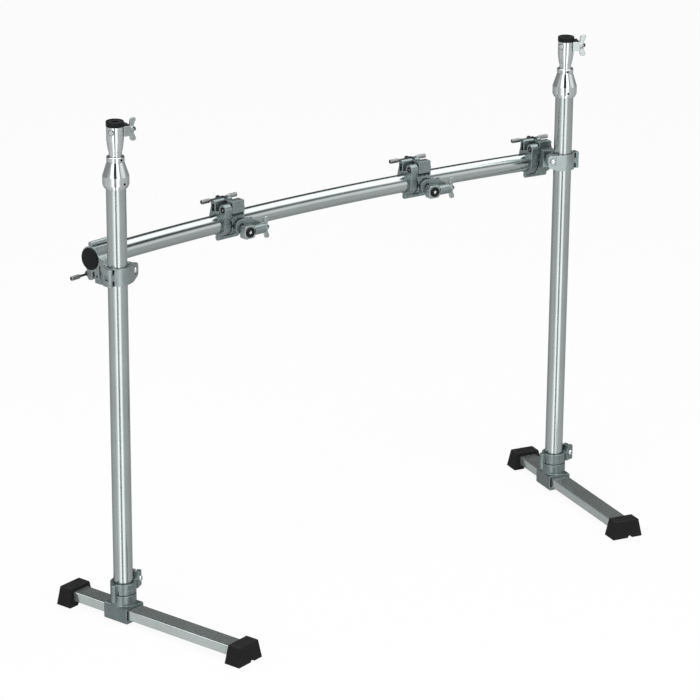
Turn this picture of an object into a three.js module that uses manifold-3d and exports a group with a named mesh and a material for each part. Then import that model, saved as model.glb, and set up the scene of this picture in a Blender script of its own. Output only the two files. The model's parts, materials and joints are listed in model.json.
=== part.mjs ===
// Drum rack frame: a curved round rail on two round legs with T-shaped feet.
// Millimetres, +Z up. The drummer sits behind the rail (+Y); the rail bulges towards +Y.
// Each casting, tube, bolt and rubber is a mesh of its own.
import * as THREE from 'three';
import { mergeVertices } from 'three/addons/utils/BufferGeometryUtils.js';
import Module from 'manifold-3d';

const wasm = await Module();
wasm.setup();

// Driving sizes of the whole rack
const tubeRadius = 19.05;
const tubeWall = 1.6;
const legSpacing = 1137.5;
const railRadius = 3600;
const railBehindLegs = 72.3;
const railHeight = 725;
const cornerInset = 7;
const toeInAngle = 0.2335;
const gap = 0.3;
const boreClearance = 0.6;
const overrun = 2;

// How finely round forms are faceted
const tubeSides = 18;
const innerSides = 10;
const smallSides = 10;
const pinSides = 8;
const earSides = 5;
const cornerSteps = 1;
const facetSlack = 0.05;

// Where the legs stand, and the middle of the rail's curve
const halfSpacing = legSpacing / 2;
const legAngle = Math.asin(halfSpacing / railRadius);
const railCentreY = railBehindLegs - railRadius * Math.cos(legAngle);

// Materials
const paint = (color, metalness, roughness) =>
  new THREE.MeshStandardMaterial({ color, metalness, roughness });
const brushedSteel = paint(0x9fa8a6, 1, 0.32);
const chrome = paint(0xc4cacb, 1, 0.12);
const greyCasting = paint(0x6f7d7c, 0.6, 0.45);
const barSteel = paint(0x87908d, 0.8, 0.4);
const lightCasting = paint(0xa9b2b3, 0.8, 0.35);
const darkSteel = paint(0x3a4244, 0.8, 0.4);
const blackPlastic = paint(0x151819, 0, 0.5);
const blackRubber = paint(0x242424, 0, 0.8);

// Closed geometry to a solid that can be joined and cut
function solid(geometry) {
  const bare = geometry.index ? geometry.toNonIndexed() : geometry.clone();
  bare.deleteAttribute('normal');
  bare.deleteAttribute('uv');
  const merged = mergeVertices(bare);
  const corners = merged.index.array;
  const kept = [];
  for (let i = 0; i < corners.length; i += 3) {
    const [a, b, c] = [corners[i], corners[i + 1], corners[i + 2]];
    if (a !== b && b !== c && c !== a) kept.push(a, b, c);
  }
  const mesh = new wasm.Mesh({
    numProp: 3,
    vertProperties: new Float32Array(merged.attributes.position.array),
    triVerts: new Uint32Array(kept),
  });
  return new wasm.Manifold(mesh);
}

// A joined or cut solid back to geometry
function geometryOf(manifold) {
  const mesh = manifold.simplify(facetSlack).getMesh();
  const geometry = new THREE.BufferGeometry();
  const points = new Float32Array(mesh.numVert * 3);
  for (let i = 0; i < mesh.numVert; i += 1) {
    for (let k = 0; k < 3; k += 1) points[3 * i + k] = mesh.vertProperties[mesh.numProp * i + k];
  }
  geometry.setAttribute('position', new THREE.BufferAttribute(points, 3));
  geometry.setIndex(Array.from(mesh.triVerts));
  geometry.computeVertexNormals();
  return geometry;
}

// Radius of a faceted bore in which a round piece can turn
const turningBore = (radius, sides) => (radius + gap) / Math.cos(Math.PI / sides);

const join = (first, ...others) => others.reduce((whole, next) => whole.add(next), first);
const cut = (first, ...others) => others.reduce((whole, next) => whole.subtract(next), first);

// Box between two corners
function block(low, high) {
  const size = high.map((value, i) => value - low[i]);
  const middle = high.map((value, i) => (value + low[i]) / 2);
  return solid(new THREE.BoxGeometry(...size).translate(...middle));
}

// Turn a shape built along +Z so that it runs along X, Y or Z
function alongAxis(geometry, axis) {
  if (axis === 'x') return geometry.rotateY(Math.PI / 2);
  if (axis === 'y') return geometry.rotateX(-Math.PI / 2);
  return geometry;
}

// Round bar along an axis, from one end to the other, centred on a point of the cross plane
function rod(axis, radius, from, to, centre, sides = smallSides) {
  const bar = new THREE.CylinderGeometry(radius, radius, to - from, sides);
  bar.rotateX(Math.PI / 2).translate(0, 0, (from + to) / 2);
  const [u, v] = centre;
  const place = { x: [0, u, v], y: [u, 0, v], z: [u, v, 0] }[axis];
  return solid(alongAxis(bar, axis).translate(...place));
}

// Revolved profile of [radius, height] points along an axis
function turned(axis, profile, centre, sides = smallSides) {
  const points = profile.map(([radius, height]) => new THREE.Vector2(radius, height));
  const body = new THREE.LatheGeometry(points, sides).rotateX(Math.PI / 2);
  const [u, v] = centre;
  const place = { x: [0, u, v], y: [u, 0, v], z: [u, v, 0] }[axis];
  return solid(alongAxis(body, axis).translate(...place));
}

// Outline through [u, v] corners, with chosen corners rounded to a radius: [u, v, radius]
function outline(corners) {
  const shape = new THREE.Shape();
  const count = corners.length;
  corners.forEach(([u, v, radius = 0], i) => {
    const here = new THREE.Vector2(u, v);
    const before = new THREE.Vector2(...corners[(i + count - 1) % count].slice(0, 2));
    const after = new THREE.Vector2(...corners[(i + 1) % count].slice(0, 2));
    const start = here.clone().add(before.sub(here).setLength(radius || 0));
    const end = here.clone().add(after.sub(here).setLength(radius || 0));
    if (i === 0) shape.moveTo(start.x, start.y);
    else shape.lineTo(start.x, start.y);
    if (radius) shape.quadraticCurveTo(here.x, here.y, end.x, end.y);
  });
  shape.closePath();
  return shape;
}

// Push an outline along an axis. Along X it is drawn in (y, z), along Y in (x, z), along Z in (x, y)
function pushed(axis, shape, from, to) {
  const options = { depth: to - from, bevelEnabled: false, curveSegments: cornerSteps };
  const body = new THREE.ExtrudeGeometry(shape, options);
  const basis = new THREE.Matrix4();
  if (axis === 'x') {
    basis.makeBasis(new THREE.Vector3(0, 1, 0), new THREE.Vector3(0, 0, 1), new THREE.Vector3(1, 0, 0));
    basis.setPosition(from, 0, 0);
  }
  if (axis === 'y') {
    basis.makeBasis(new THREE.Vector3(1, 0, 0), new THREE.Vector3(0, 0, 1), new THREE.Vector3(0, -1, 0));
    basis.setPosition(0, to, 0);
  }
  if (axis === 'z') basis.setPosition(0, 0, from);
  return solid(body.applyMatrix4(basis));
}

const roundedRectangle = (halfWidth, halfHeight, radius, centreU = 0, centreV = 0) => outline([
  [centreU - halfWidth, centreV - halfHeight, radius],
  [centreU + halfWidth, centreV - halfHeight, radius],
  [centreU + halfWidth, centreV + halfHeight, radius],
  [centreU - halfWidth, centreV + halfHeight, radius],
]);

// The rack, and the way pieces are put in it
const rack = new THREE.Group();
function put(parent, name, body, material) {
  const mesh = new THREE.Mesh(geometryOf(body), material);
  mesh.name = name;
  parent.add(mesh);
}

// Curved rail: a round tube bent to an arc, with a plastic cap in each end. It ends just
// past the corner clamps, whose jaws reach this far to either side of their T-bolt.
const clampLeft = -30;
const clampRight = 22;
const railSteps = 16;
const capFlangeRadius = 21.6;
const capFlangeThickness = 3.2;
const capPlugDepth = 14;
const railEndGap = 0.6;
const cornerBoltAngle = Math.asin((halfSpacing - cornerInset) / railRadius);
const railEndAngle = cornerBoltAngle + (clampRight + railEndGap) / railRadius;

class RailArc extends THREE.Curve {
  getPoint(share, target = new THREE.Vector3()) {
    const angle = railEndAngle * (2 * share - 1);
    return target.set(
      railRadius * Math.sin(angle),
      railCentreY + railRadius * Math.cos(angle),
      railHeight,
    );
  }
}

function circle(radius, sides) {
  const ring = new THREE.Path();
  for (let i = 0; i < sides; i += 1) {
    const angle = (2 * Math.PI * (i + 0.5)) / sides;
    const [u, v] = [radius * Math.cos(angle), radius * Math.sin(angle)];
    if (i === 0) ring.moveTo(u, v);
    else ring.lineTo(u, v);
  }
  ring.closePath();
  return ring;
}

function railTube() {
  const section = new THREE.Shape(circle(tubeRadius, tubeSides).getPoints());
  section.holes.push(circle(tubeRadius - tubeWall, innerSides));
  const body = new THREE.ExtrudeGeometry(section, {
    steps: railSteps,
    extrudePath: new RailArc(),
    bevelEnabled: false,
  });
  return solid(body);
}

// A group that stands on the rail at a length along it, X along the rail, Y out of the curve
function onRail(angle) {
  const group = new THREE.Group();
  group.position.set(
    railRadius * Math.sin(angle),
    railCentreY + railRadius * Math.cos(angle),
    railHeight,
  );
  group.rotation.z = -angle;
  rack.add(group);
  return group;
}

// End cap: a domed flange outside the tube and a plug inside it
function railCap(direction) {
  const plugRadius = (tubeRadius - tubeWall) * Math.cos(Math.PI / innerSides) - gap;
  const crown = capFlangeThickness / 3;
  const profile = [
    [0, -capPlugDepth],
    [plugRadius, -capPlugDepth],
    [plugRadius, gap],
    [capFlangeRadius, gap],
    [capFlangeRadius, capFlangeThickness - crown],
    [capFlangeRadius - crown, capFlangeThickness],
    [0, capFlangeThickness],
  ];
  const cap = turned('x', profile, [0, 0], tubeSides);
  return direction > 0 ? cap : cap.rotate([0, 0, 180]);
}

put(rack, 'rail_tube', railTube(), brushedSteel);
put(onRail(-railEndAngle), 'rail_cap_left', railCap(-1), blackPlastic);
put(onRail(railEndAngle), 'rail_cap_right', railCap(1), blackPlastic);

// Rail clamp, in its own frame: X along the rail, Y to the drummer's side, Z up.
// Two cast jaws close round the rail. They hinge below on a pin along the rail, and above
// a T-bolt draws them together: it screws into a block that is pinned in the front jaw and
// lies in an open slot of the rear jaw, with a washer under its head.
const clampWall = 6;
const gateWall = 4.6;
const jawSplit = 1;
const boreRadius = tubeRadius + boreClearance;
const jawRadius = boreRadius + clampWall;
const gateRadius = boreRadius + gateWall;

const hingeY = -1;
const hingePinRadius = 2.6;
const knuckleRadius = 5.8;
const hingeZ = -(jawRadius + knuckleRadius / 2);
const knuckleRoom = turningBore(knuckleRadius, smallSides);
const gateKnuckleLeft = -14;
const gateKnuckleRight = 8;

const boltZ = 41;
const boltRadius = 4;
const boltFront = -27;
const boltHeadRadius = 5.6;
const washerRadius = 7.6;
const washerThickness = 2.2;
const crossbarY = 29.4;
const boltEnd = 35;
const crossbarRadius = 2.4;
const gripRadius = 4.6;
const gripInner = 25;
const gripOuter = 45;
const gripNeck = 4;
const gripStep = 1;

const earLeft = clampLeft;
const earRight = -13.4;
const blockPinY = -18;
const blockPinZ = 32;
const blockPinRadius = 3;
const earRadius = 11;
const earBossRadius = 6.4;
const earBossDepth = 1.6;
const lowEarRight = clampRight;
const lowEarRadius = 6;
const blockLeft = earRight + gap;
const blockRight = 19.3;
const blockFront = -26.5;
const blockBack = -9;
const blockTop = 47.5;
const blockBottom = 22;
const blockCorner = 2.5;

const gateEarRight = 14;
const gateEarFront = 4;
const gateEarBack = 18;
const gateEarTop = 46.5;
const gateEarFoot = 10;
const gateEarCorner = 4;
const slotClearance = 0.5;
const hollowDepth = 9;
const hollowWall = 3;

const seamX = -12;
const seamWidth = 1.2;
const seamDepth = 1.1;
const seamLean = 3.5;

// Everything forward of the split, or behind it
const cutterReach = 200;
const frontHalf = () => block(
  [-cutterReach, -cutterReach, -cutterReach],
  [cutterReach, -jawSplit / 2, cutterReach],
);
const rearHalf = () => block(
  [-cutterReach, jawSplit / 2, -cutterReach],
  [cutterReach, cutterReach, cutterReach],
);
const railBore = (radius = boreRadius) =>
  rod('x', radius, clampLeft - cutterReach, clampRight + cutterReach, [0, 0], tubeSides);

// Ear outline in (y, z): a round end about a point, with its foot in the ring
function earOutline(y, z, radius, footFront, footBack) {
  const corners = [[footFront, 0]];
  for (let i = 0; i <= earSides; i += 1) {
    const angle = Math.PI * (1 - i / earSides);
    corners.push([y + radius * Math.cos(angle), z + radius * Math.sin(angle)]);
  }
  corners.push([footBack, 0]);
  return outline(corners);
}

// V-shaped seam down the front of the jaw, where the ring meets the arm's root
function seamCutter() {
  const spine = [[seamX - seamLean, jawRadius], [seamX, 0], [seamX - seamLean, -jawRadius]];
  const left = spine.map(([x, z]) => [x - seamWidth / 2, z]);
  const right = spine.map(([x, z]) => [x + seamWidth / 2, z]).reverse();
  const wedge = pushed('y', outline([...left, ...right]), -cutterReach / 2, -jawSplit);
  return wedge.subtract(rod('x', jawRadius - seamDepth, -cutterReach, cutterReach, [0, 0], tubeSides));
}

// Front jaw: half ring, pinned ears, hinge knuckles. Extra solids are cast on to it
function frontJaw(...castOn) {
  const ring = rod('x', jawRadius, clampLeft, clampRight, [0, 0], tubeSides);
  const ear = pushed('x', earOutline(blockPinY, blockPinZ, earRadius, -jawRadius + clampWall / 2,
    blockPinY + earRadius + clampWall / 2), earLeft, earRight);
  const lowEar = pushed('x', earOutline(blockPinY, blockPinZ, lowEarRadius, -jawRadius + clampWall / 2,
    blockPinY + earRadius), blockRight + gap, lowEarRight);
  const knuckle = (from, to) => rod('x', knuckleRadius, from, to, [hingeY, hingeZ], smallSides);
  const half = join(ring, ear, lowEar).intersect(frontHalf());
  const body = join(half, knuckle(clampLeft, gateKnuckleLeft - gap),
    knuckle(gateKnuckleRight + gap, clampRight), ...castOn);
  return cut(
    body,
    railBore(),
    seamCutter(),
    rod('x', hingePinRadius + gap, -cutterReach, cutterReach, [hingeY, hingeZ], pinSides),
    rod('x', knuckleRoom, gateKnuckleLeft - gap, gateKnuckleRight + gap, [hingeY, hingeZ]),
    rod('x', blockPinRadius + gap, earLeft - overrun, lowEarRight + overrun, [blockPinY, blockPinZ], pinSides),
    rod('x', earBossRadius, earLeft - overrun, earLeft + earBossDepth, [blockPinY, blockPinZ]),
  );
}

// Rear jaw, or gate: half ring, slotted ear, middle knuckle and the hinge pin
function rearJaw() {
  const ring = rod('x', gateRadius, clampLeft, clampRight, [0, 0], tubeSides).intersect(rearHalf());
  const ear = pushed('x', outline([
    [gateEarFront, tubeRadius / 2],
    [gateRadius, gateEarFoot],
    [gateEarBack, boltZ - washerRadius - gap],
    [gateEarBack, gateEarTop, gateEarCorner],
    [gateEarFront, gateEarTop, gateEarCorner],
  ]), earLeft, gateEarRight);
  const knuckle = rod('x', knuckleRadius, gateKnuckleLeft, gateKnuckleRight, [hingeY, hingeZ]);
  const slotHalf = boltRadius + slotClearance;
  const slot = join(
    rod('y', slotHalf, 0, cutterReach, [0, boltZ], pinSides),
    block([-slotHalf, 0, boltZ], [slotHalf, cutterReach, gateEarTop + overrun]),
  );
  const hollow = pushed('x', outline([
    [gateEarFront + hollowWall, gateRadius],
    [gateEarBack - hollowWall / 2, gateRadius - hollowWall / 2],
    [gateEarBack - hollowWall, gateEarTop - gateEarCorner - hollowWall],
    [gateEarFront + hollowWall, gateEarTop - gateEarCorner - hollowWall],
  ]), earLeft - overrun, earLeft + hollowDepth);
  const webbed = cut(join(ring, ear), slot, hollow);
  const aroundKnuckle = (from, to) => rod('x', knuckleRoom, from, to, [hingeY, hingeZ]);
  const cleared = cut(
    webbed,
    aroundKnuckle(clampLeft - overrun, gateKnuckleLeft),
    aroundKnuckle(gateKnuckleRight, clampRight + overrun),
  );
  const pin = rod('x', hingePinRadius, clampLeft, clampRight, [hingeY, hingeZ], pinSides);
  return join(cut(join(cleared, knuckle), railBore()), pin);
}

// Block with a cross pin: the T-bolt screws into it
function trunnionBlock() {
  const middleY = (blockFront + blockBack) / 2;
  const middleZ = (blockTop + blockBottom) / 2;
  const body = pushed('x', roundedRectangle((blockBack - blockFront) / 2,
    (blockTop - blockBottom) / 2, blockCorner, middleY, middleZ), blockLeft, blockRight);
  const pin = rod('x', blockPinRadius, earLeft + earBossDepth, lowEarRight, [blockPinY, blockPinZ], pinSides);
  return cut(
    join(body, pin),
    rod('y', turningBore(boltRadius, pinSides), -cutterReach, cutterReach, [0, boltZ], pinSides),
    railBore(jawRadius + gap),
  );
}

function boltWasher() {
  const from = gateEarBack + gap;
  const ring = rod('y', washerRadius, from, from + washerThickness, [0, boltZ]);
  return cut(ring, rod('y', turningBore(boltRadius, pinSides), 0, cutterReach, [0, boltZ], pinSides));
}

// Grip along X: a barrel on a tapered neck
function grip(direction) {
  const [from, to] = direction > 0 ? [gripInner, gripOuter] : [-gripOuter, -gripInner];
  const barrel = rod('x', gripRadius, from, to, [crossbarY, boltZ]);
  const start = direction > 0 ? gripInner - gripNeck : -gripInner;
  const radii = direction > 0 ? [crossbarRadius, gripRadius - gripStep]
    : [gripRadius - gripStep, crossbarRadius];
  const neck = turned('x', [
    [0, start],
    [radii[0], start],
    [radii[1], start + gripNeck],
    [0, start + gripNeck],
  ], [crossbarY, boltZ], pinSides);
  return join(barrel, neck);
}

// T-bolt with its cross bar: screw, round head, bar and two grips
function tHandle() {
  const headFrom = gateEarBack + washerThickness + 2 * gap;
  return join(
    rod('y', boltRadius, boltFront, headFrom + overrun, [0, boltZ], pinSides),
    rod('y', boltHeadRadius, headFrom, boltEnd, [0, boltZ], smallSides),
    rod('x', crossbarRadius, -gripInner, gripInner, [crossbarY, boltZ], pinSides),
    grip(1),
    grip(-1),
  );
}

// The pieces that every rail clamp has besides its front jaw
function putClampPieces(group, name) {
  put(group, `${name}_gate`, rearJaw(), greyCasting);
  put(group, `${name}_bolt_block`, trunnionBlock(), greyCasting);
  put(group, `${name}_bolt_washer`, boltWasher(), darkSteel);
  put(group, `${name}_t_handle`, tHandle(), lightCasting);
}

// Accessory clamps: a rail clamp whose arm ends in a disc. A holder with a disc of its own
// is screwed to it and carries an eyebolt, its plastic bush and a wing nut.
const armLeft = -11;
const armRight = 17;
const armZ = -3;
const armFront = -30;
const discRadius = 14;
const discGap = 0.8;
const discBack = 4.5;
const armX = (armLeft + armRight) / 2;
const holderPlate = 7;
const pivotScrewRadius = 3;
const pivotHeadRadius = 6;
const pivotHeadHeight = 3;

// Arm on the front jaw, ending in the fixed disc
function accessoryArm() {
  const root = pushed('y', roundedRectangle((armRight - armLeft) / 2, discRadius, blockCorner,
    armX, armZ), armFront + discBack, 0);
  const disc = rod('y', discRadius + gap, armFront, armFront + discBack + overrun, [armX, armZ], tubeSides);
  return join(root, disc);
}

const holderBack = armFront - discGap;
const holderFront = holderBack - holderPlate;
const eyeY = -46.5;
const eyeZ = -13;
const eyeLeft = -3;
const eyeWidth = 27;
const eyeHalf = 13.5;
const eyeDepthHalf = 8;
const bushRadius = 10.4;
const bushLip = 3;
const bushBore = 4.6;
const bushSeat = 7.6;
const shankRadius = 4;
const barrelLeft = eyeLeft + eyeWidth + gap;
const barrelRight = barrelLeft + 27;
const barrelHalf = 9.5;
const barrelBore = shankRadius + gap;
const eyeMiddleX = eyeLeft + eyeWidth / 2;
const shankEnd = barrelRight + 13;

const wingSpan = 47;
const wingHubRadius = 7;
const wingHubLength = 10;
const wingThickness = 3.6;
const wingTipHalf = 4.8;
const wingFlare = 5;
const wingTipRound = 2.4;

// Wing nut with its thread along +X from a face: hub with two flared wings up and down
function wingNut(face, centre) {
  const [y, z] = centre;
  const bore = rod('x', turningBore(shankRadius, pinSides), face - overrun, face + wingHubLength + overrun,
    centre, pinSides);
  const hub = turned('x', [
    [0, face],
    [wingHubRadius, face],
    [wingHubRadius, face + wingHubLength / 2],
    [wingHubRadius - wingThickness / 3, face + wingHubLength],
    [0, face + wingHubLength],
  ], centre);
  const wing = (side) => {
    const root = z + side * shankRadius;
    const tip = z + side * (wingSpan / 2);
    const mid = z + side * (wingHubRadius + wingFlare);
    const corners = [
      [face + wingThickness / 2, root],
      [face + wingHubLength - wingThickness / 2, root],
      [face + wingHubLength, mid],
      [face + wingHubLength + wingFlare, tip - side * wingTipHalf, wingTipRound],
      [face + wingHubLength + wingFlare / 2, tip, wingTipRound],
      [face + wingHubLength / 2, tip - side * wingTipHalf / 2, wingTipRound],
      [face + wingThickness, mid],
    ];
    const ordered = side > 0 ? corners : corners.slice().reverse();
    return pushed('y', outline(ordered), y - wingThickness / 2, y + wingThickness / 2);
  };
  return cut(join(hub, wing(1), wing(-1)), bore);
}

// Holder: plate against the disc, and the barrel that the eyebolt draws against
function accessoryHolder() {
  const plate = pushed('y', roundedRectangle(discRadius, discRadius, discRadius / 2, armX, armZ),
    holderFront, holderBack);
  const bridge = pushed('y', outline([
    [armX, armZ - discRadius + blockCorner],
    [barrelLeft, armZ - discRadius, blockCorner],
    [barrelRight, eyeZ - barrelHalf, blockCorner],
    [barrelRight, eyeZ + barrelHalf, blockCorner],
    [barrelLeft, armZ + discRadius, blockCorner],
    [armX, armZ + discRadius],
  ]), holderFront, holderBack);
  const barrel = pushed('x', roundedRectangle((barrelHalf * 2) / 2, barrelHalf, blockCorner * 2,
    eyeY, eyeZ), barrelLeft, barrelRight);
  const web = block([barrelLeft, eyeY, eyeZ - barrelHalf + blockCorner],
    [barrelRight, holderFront + overrun / 2, eyeZ + barrelHalf - blockCorner]);
  return cut(
    join(plate, bridge, barrel, web),
    rod('x', barrelBore, barrelLeft - overrun, barrelRight + overrun, [eyeY, eyeZ], pinSides),
    rod('y', pivotScrewRadius + gap, -cutterReach, 0, [armX, armZ], pinSides),
    rod('y', pivotHeadRadius + gap * 2, -cutterReach, holderFront + pivotHeadHeight + gap * 2, [armX, armZ]),
  );
}

// Eyebolt: a rounded block with a bore for the bush, and a threaded shank to the wing nut
function eyeBolt() {
  const head = pushed('y', roundedRectangle(eyeWidth / 2, eyeHalf, blockCorner * 2, eyeMiddleX, eyeZ),
    eyeY - eyeDepthHalf, eyeY + eyeDepthHalf);
  const shank = rod('x', shankRadius, eyeLeft + eyeWidth - overrun, shankEnd, [eyeY, eyeZ], pinSides);
  return cut(join(head, shank), rod('y', bushSeat + gap, -cutterReach, 0, [eyeMiddleX, eyeZ]));
}

// Plastic bush in the eyebolt, with a lip in front
function eyeBush() {
  const front = eyeY - eyeDepthHalf;
  return turned('y', [
    [bushBore, front - bushLip],
    [bushRadius - bushLip / 2, front - bushLip],
    [bushRadius, front - bushLip / 2],
    [bushRadius, front - gap],
    [bushSeat, front - gap],
    [bushSeat, eyeY + eyeDepthHalf],
    [bushBore, eyeY + eyeDepthHalf],
    [bushBore, front - bushLip],
  ], [eyeMiddleX, eyeZ]);
}

// Screw that the holder turns on
function pivotScrew() {
  return join(
    rod('y', pivotHeadRadius, holderFront + gap, holderFront + gap + pivotHeadHeight, [armX, armZ]),
    rod('y', pivotScrewRadius, holderFront + overrun, -jawRadius - gap, [armX, armZ], pinSides),
  );
}

function accessoryClamp(name, angle) {
  const group = onRail(angle);
  const screwHole = rod('y', pivotScrewRadius + gap, -cutterReach, 0, [armX, armZ], pinSides);
  const jaw = cut(frontJaw(accessoryArm()), screwHole);
  put(group, `${name}_jaw`, jaw, greyCasting);
  putClampPieces(group, name);
  put(group, `${name}_holder`, accessoryHolder(), greyCasting);
  put(group, `${name}_holder_screw`, pivotScrew(), darkSteel);
  put(group, `${name}_eye_bolt`, eyeBolt(), lightCasting);
  put(group, `${name}_eye_bush`, eyeBush(), blackPlastic);
  put(group, `${name}_wing_nut`, wingNut(barrelRight + gap, [eyeY, eyeZ]), lightCasting);
}

const clampAPlace = -227.7;
const clampBPlace = 254.5;
accessoryClamp('clamp_a', clampAPlace / railRadius);
accessoryClamp('clamp_b', clampBPlace / railRadius);

// Corner clamps: the same rail clamp with an arm cast on that ends in a ring round the leg.
// A strap hinged on an upright pin closes the ring, drawn up by a bolt through two ears.
// Ring, strap and ears are drawn for the left leg, with the ears to the right.
const legRingHeight = 33.5;
const legRingRise = 15.6;
const legRingRadius = boreRadius + clampWall;
const strapSplit = 1;
const strapHingeOut = 2.9;
const strapHingeY = -10;
const strapKnuckleRadius = 5;
const strapPinRadius = 2.4;
const strapTongueHalf = 5;
const strapHingeX = -(legRingRadius + strapHingeOut);

// Ears: flat plates that leave the ring's front as a tangent, turned back from the X axis
const earThickness = 9;
const earSlit = 3;
const earCorner = 4;
const earRootShare = 0.6;
const cornerEarLength = 37;
const cornerEarBoltAlong = 26;
const cornerEarTurn = 20;
const cornerEarTaper = 8;
const earRecess = 1.5;
const earRecessHalf = 9;
const earBoltRadius = 3.2;
const earBoltHead = 6;
const earBoltHeadHeight = 4;
const earNutRadius = 5.4;
const earNutHeight = 5;
const frontEarBack = -legRingRadius + earThickness;
const rearEarFront = frontEarBack + earSlit;
const rearEarBack = rearEarFront + earThickness;

function earPlate(ear, front, back) {
  return pushed('y', outline([
    [legRingRadius * earRootShare, ear.low],
    [ear.length, ear.low + ear.taper, earCorner],
    [ear.length, ear.high, earCorner],
    [legRingRadius * earRootShare, ear.high],
  ]), front, back);
}

// Front ear reaches back to where it touches the ring
const frontEar = (ear) => join(
  earPlate(ear, -legRingRadius, frontEarBack),
  block([0, -legRingRadius, ear.low],
    [legRingRadius * earRootShare + overrun / 2, frontEarBack, ear.high]),
);
const rearEar = (ear) => earPlate(ear, rearEarFront, rearEarBack);
const behind = (front) => block([0, front, -cutterReach], [cutterReach, cutterReach, cutterReach]);
const earBoltHole = (along, z) =>
  rod('y', earBoltRadius + gap, -cutterReach, cutterReach, [along, z], pinSides);
const earNutPocket = (along, z) =>
  rod('y', earNutRadius + gap * 2, rearEarBack, rearEarBack + earNutHeight * 2, [along, z], pinSides);

// Screw with a domed head in front of the front ear, and its nut behind the rear one
function earBolt(along, z, recess) {
  const face = -legRingRadius + recess - gap;
  const dome = turned('y', [
    [0, face - earBoltHeadHeight],
    [earBoltHead / 2, face - earBoltHeadHeight],
    [earBoltHead, face - earBoltHeadHeight / 2],
    [earBoltHead, face],
    [0, face],
  ], [along, z]);
  const nutFace = rearEarBack + gap;
  const nut = rod('y', earNutRadius, nutFace, nutFace + earNutHeight, [along, z], 6);
  return join(dome, nut, rod('y', earBoltRadius, face - gap, nutFace + gap, [along, z], pinSides));
}

// Rings and bores round a leg on the Z axis
const legRing = (radius, low, high) => rod('z', radius, low, high, [0, 0], tubeSides);
const legBore = (low, high) => rod('z', boreRadius, low, high, [0, 0], tubeSides);
const degrees = (radians) => (radians * 180) / Math.PI;
const strapHinge = [strapHingeX, strapHingeY];
const strapKnuckle = (from, to) => rod('z', strapKnuckleRadius, from, to, strapHinge, smallSides);
const turnedEar = (body) => body.rotate([0, 0, cornerEarTurn]);
const cornerEar = (z) => ({
  length: cornerEarLength,
  taper: cornerEarTaper,
  low: z - legRingHeight / 2,
  high: z + legRingHeight / 2,
});

// The ring's own part, with two knuckles and the rear ear; z is the ring's middle
function legRingRear(z) {
  const low = z - legRingHeight / 2;
  const high = z + legRingHeight / 2;
  const taken = cut(
    block([-cutterReach, -cutterReach, low - overrun], [cutterReach, strapSplit / 2, high + overrun]),
    turnedEar(behind(rearEarFront)),
  );
  const knuckles = [[low, z - strapTongueHalf - gap], [z + strapTongueHalf + gap, high]];
  const hinge = knuckles.map(([from, to]) => join(
    strapKnuckle(from, to),
    block([strapHingeX - strapKnuckleRadius, strapHingeY, from],
      [-legRingRadius - gap, strapKnuckleRadius, to]),
    block([-legRingRadius - gap, strapSplit / 2, from], [-boreRadius, strapKnuckleRadius, to]),
  ));
  const half = cut(join(legRing(legRingRadius, low, high), turnedEar(rearEar(cornerEar(z)))), taken);
  return cut(
    join(half, ...hinge),
    rod('z', strapKnuckleRadius + gap, z - strapTongueHalf - gap, z + strapTongueHalf + gap, strapHinge),
    rod('z', strapPinRadius + gap, low - overrun, high + overrun, strapHinge, pinSides),
    turnedEar(earBoltHole(cornerEarBoltAlong, z + cornerEarTaper / 2)),
  );
}

// Strap: front of the ring, a tongue between the knuckles with the pin in it, and the front ear
function legStrap(z) {
  const low = z - legRingHeight / 2;
  const high = z + legRingHeight / 2;
  const half = legRing(legRingRadius, low, high).intersect(block(
    [-cutterReach, -cutterReach, low],
    [cutterReach, -strapSplit / 2, high],
  ));
  const tongue = [z - strapTongueHalf, z + strapTongueHalf];
  const screwZ = z + cornerEarTaper / 2;
  const recess = block(
    [legRingRadius * earRootShare + earRecessHalf / 2, -legRingRadius - overrun, screwZ - earRecessHalf],
    [cornerEarLength - earRecess, -legRingRadius + earRecess, screwZ + earRecessHalf],
  );
  const front = cut(
    join(half, turnedEar(frontEar(cornerEar(z)))),
    turnedEar(behind(frontEarBack)),
    turnedEar(recess),
    turnedEar(earBoltHole(cornerEarBoltAlong, screwZ)),
    rod('z', strapKnuckleRadius + gap, low - overrun, high + overrun, strapHinge),
  );
  const link = block([strapHingeX, strapHingeY - strapKnuckleRadius, tongue[0]],
    [-boreRadius, strapHingeY + strapKnuckleRadius / 2, tongue[1]]);
  return join(
    cut(join(front, strapKnuckle(...tongue), link), legBore(low - overrun, high + overrun)),
    rod('z', strapPinRadius, low, high, strapHinge, pinSides),
  );
}

// Arm from the jaw to the leg ring: a plan outline kept inside a side outline. Both are drawn
// in the clamp's frame for the clamp standing T-bolt up; legX is where the leg stands in it.
const armRootFront = -27.6;
const gussetTop = 34;
const armNose = 9;
const armBend = -42;
const armEndHalf = 15;
const leftArmRoot = [-22, 8];
const rightArmRoot = [-11, 17];

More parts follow.
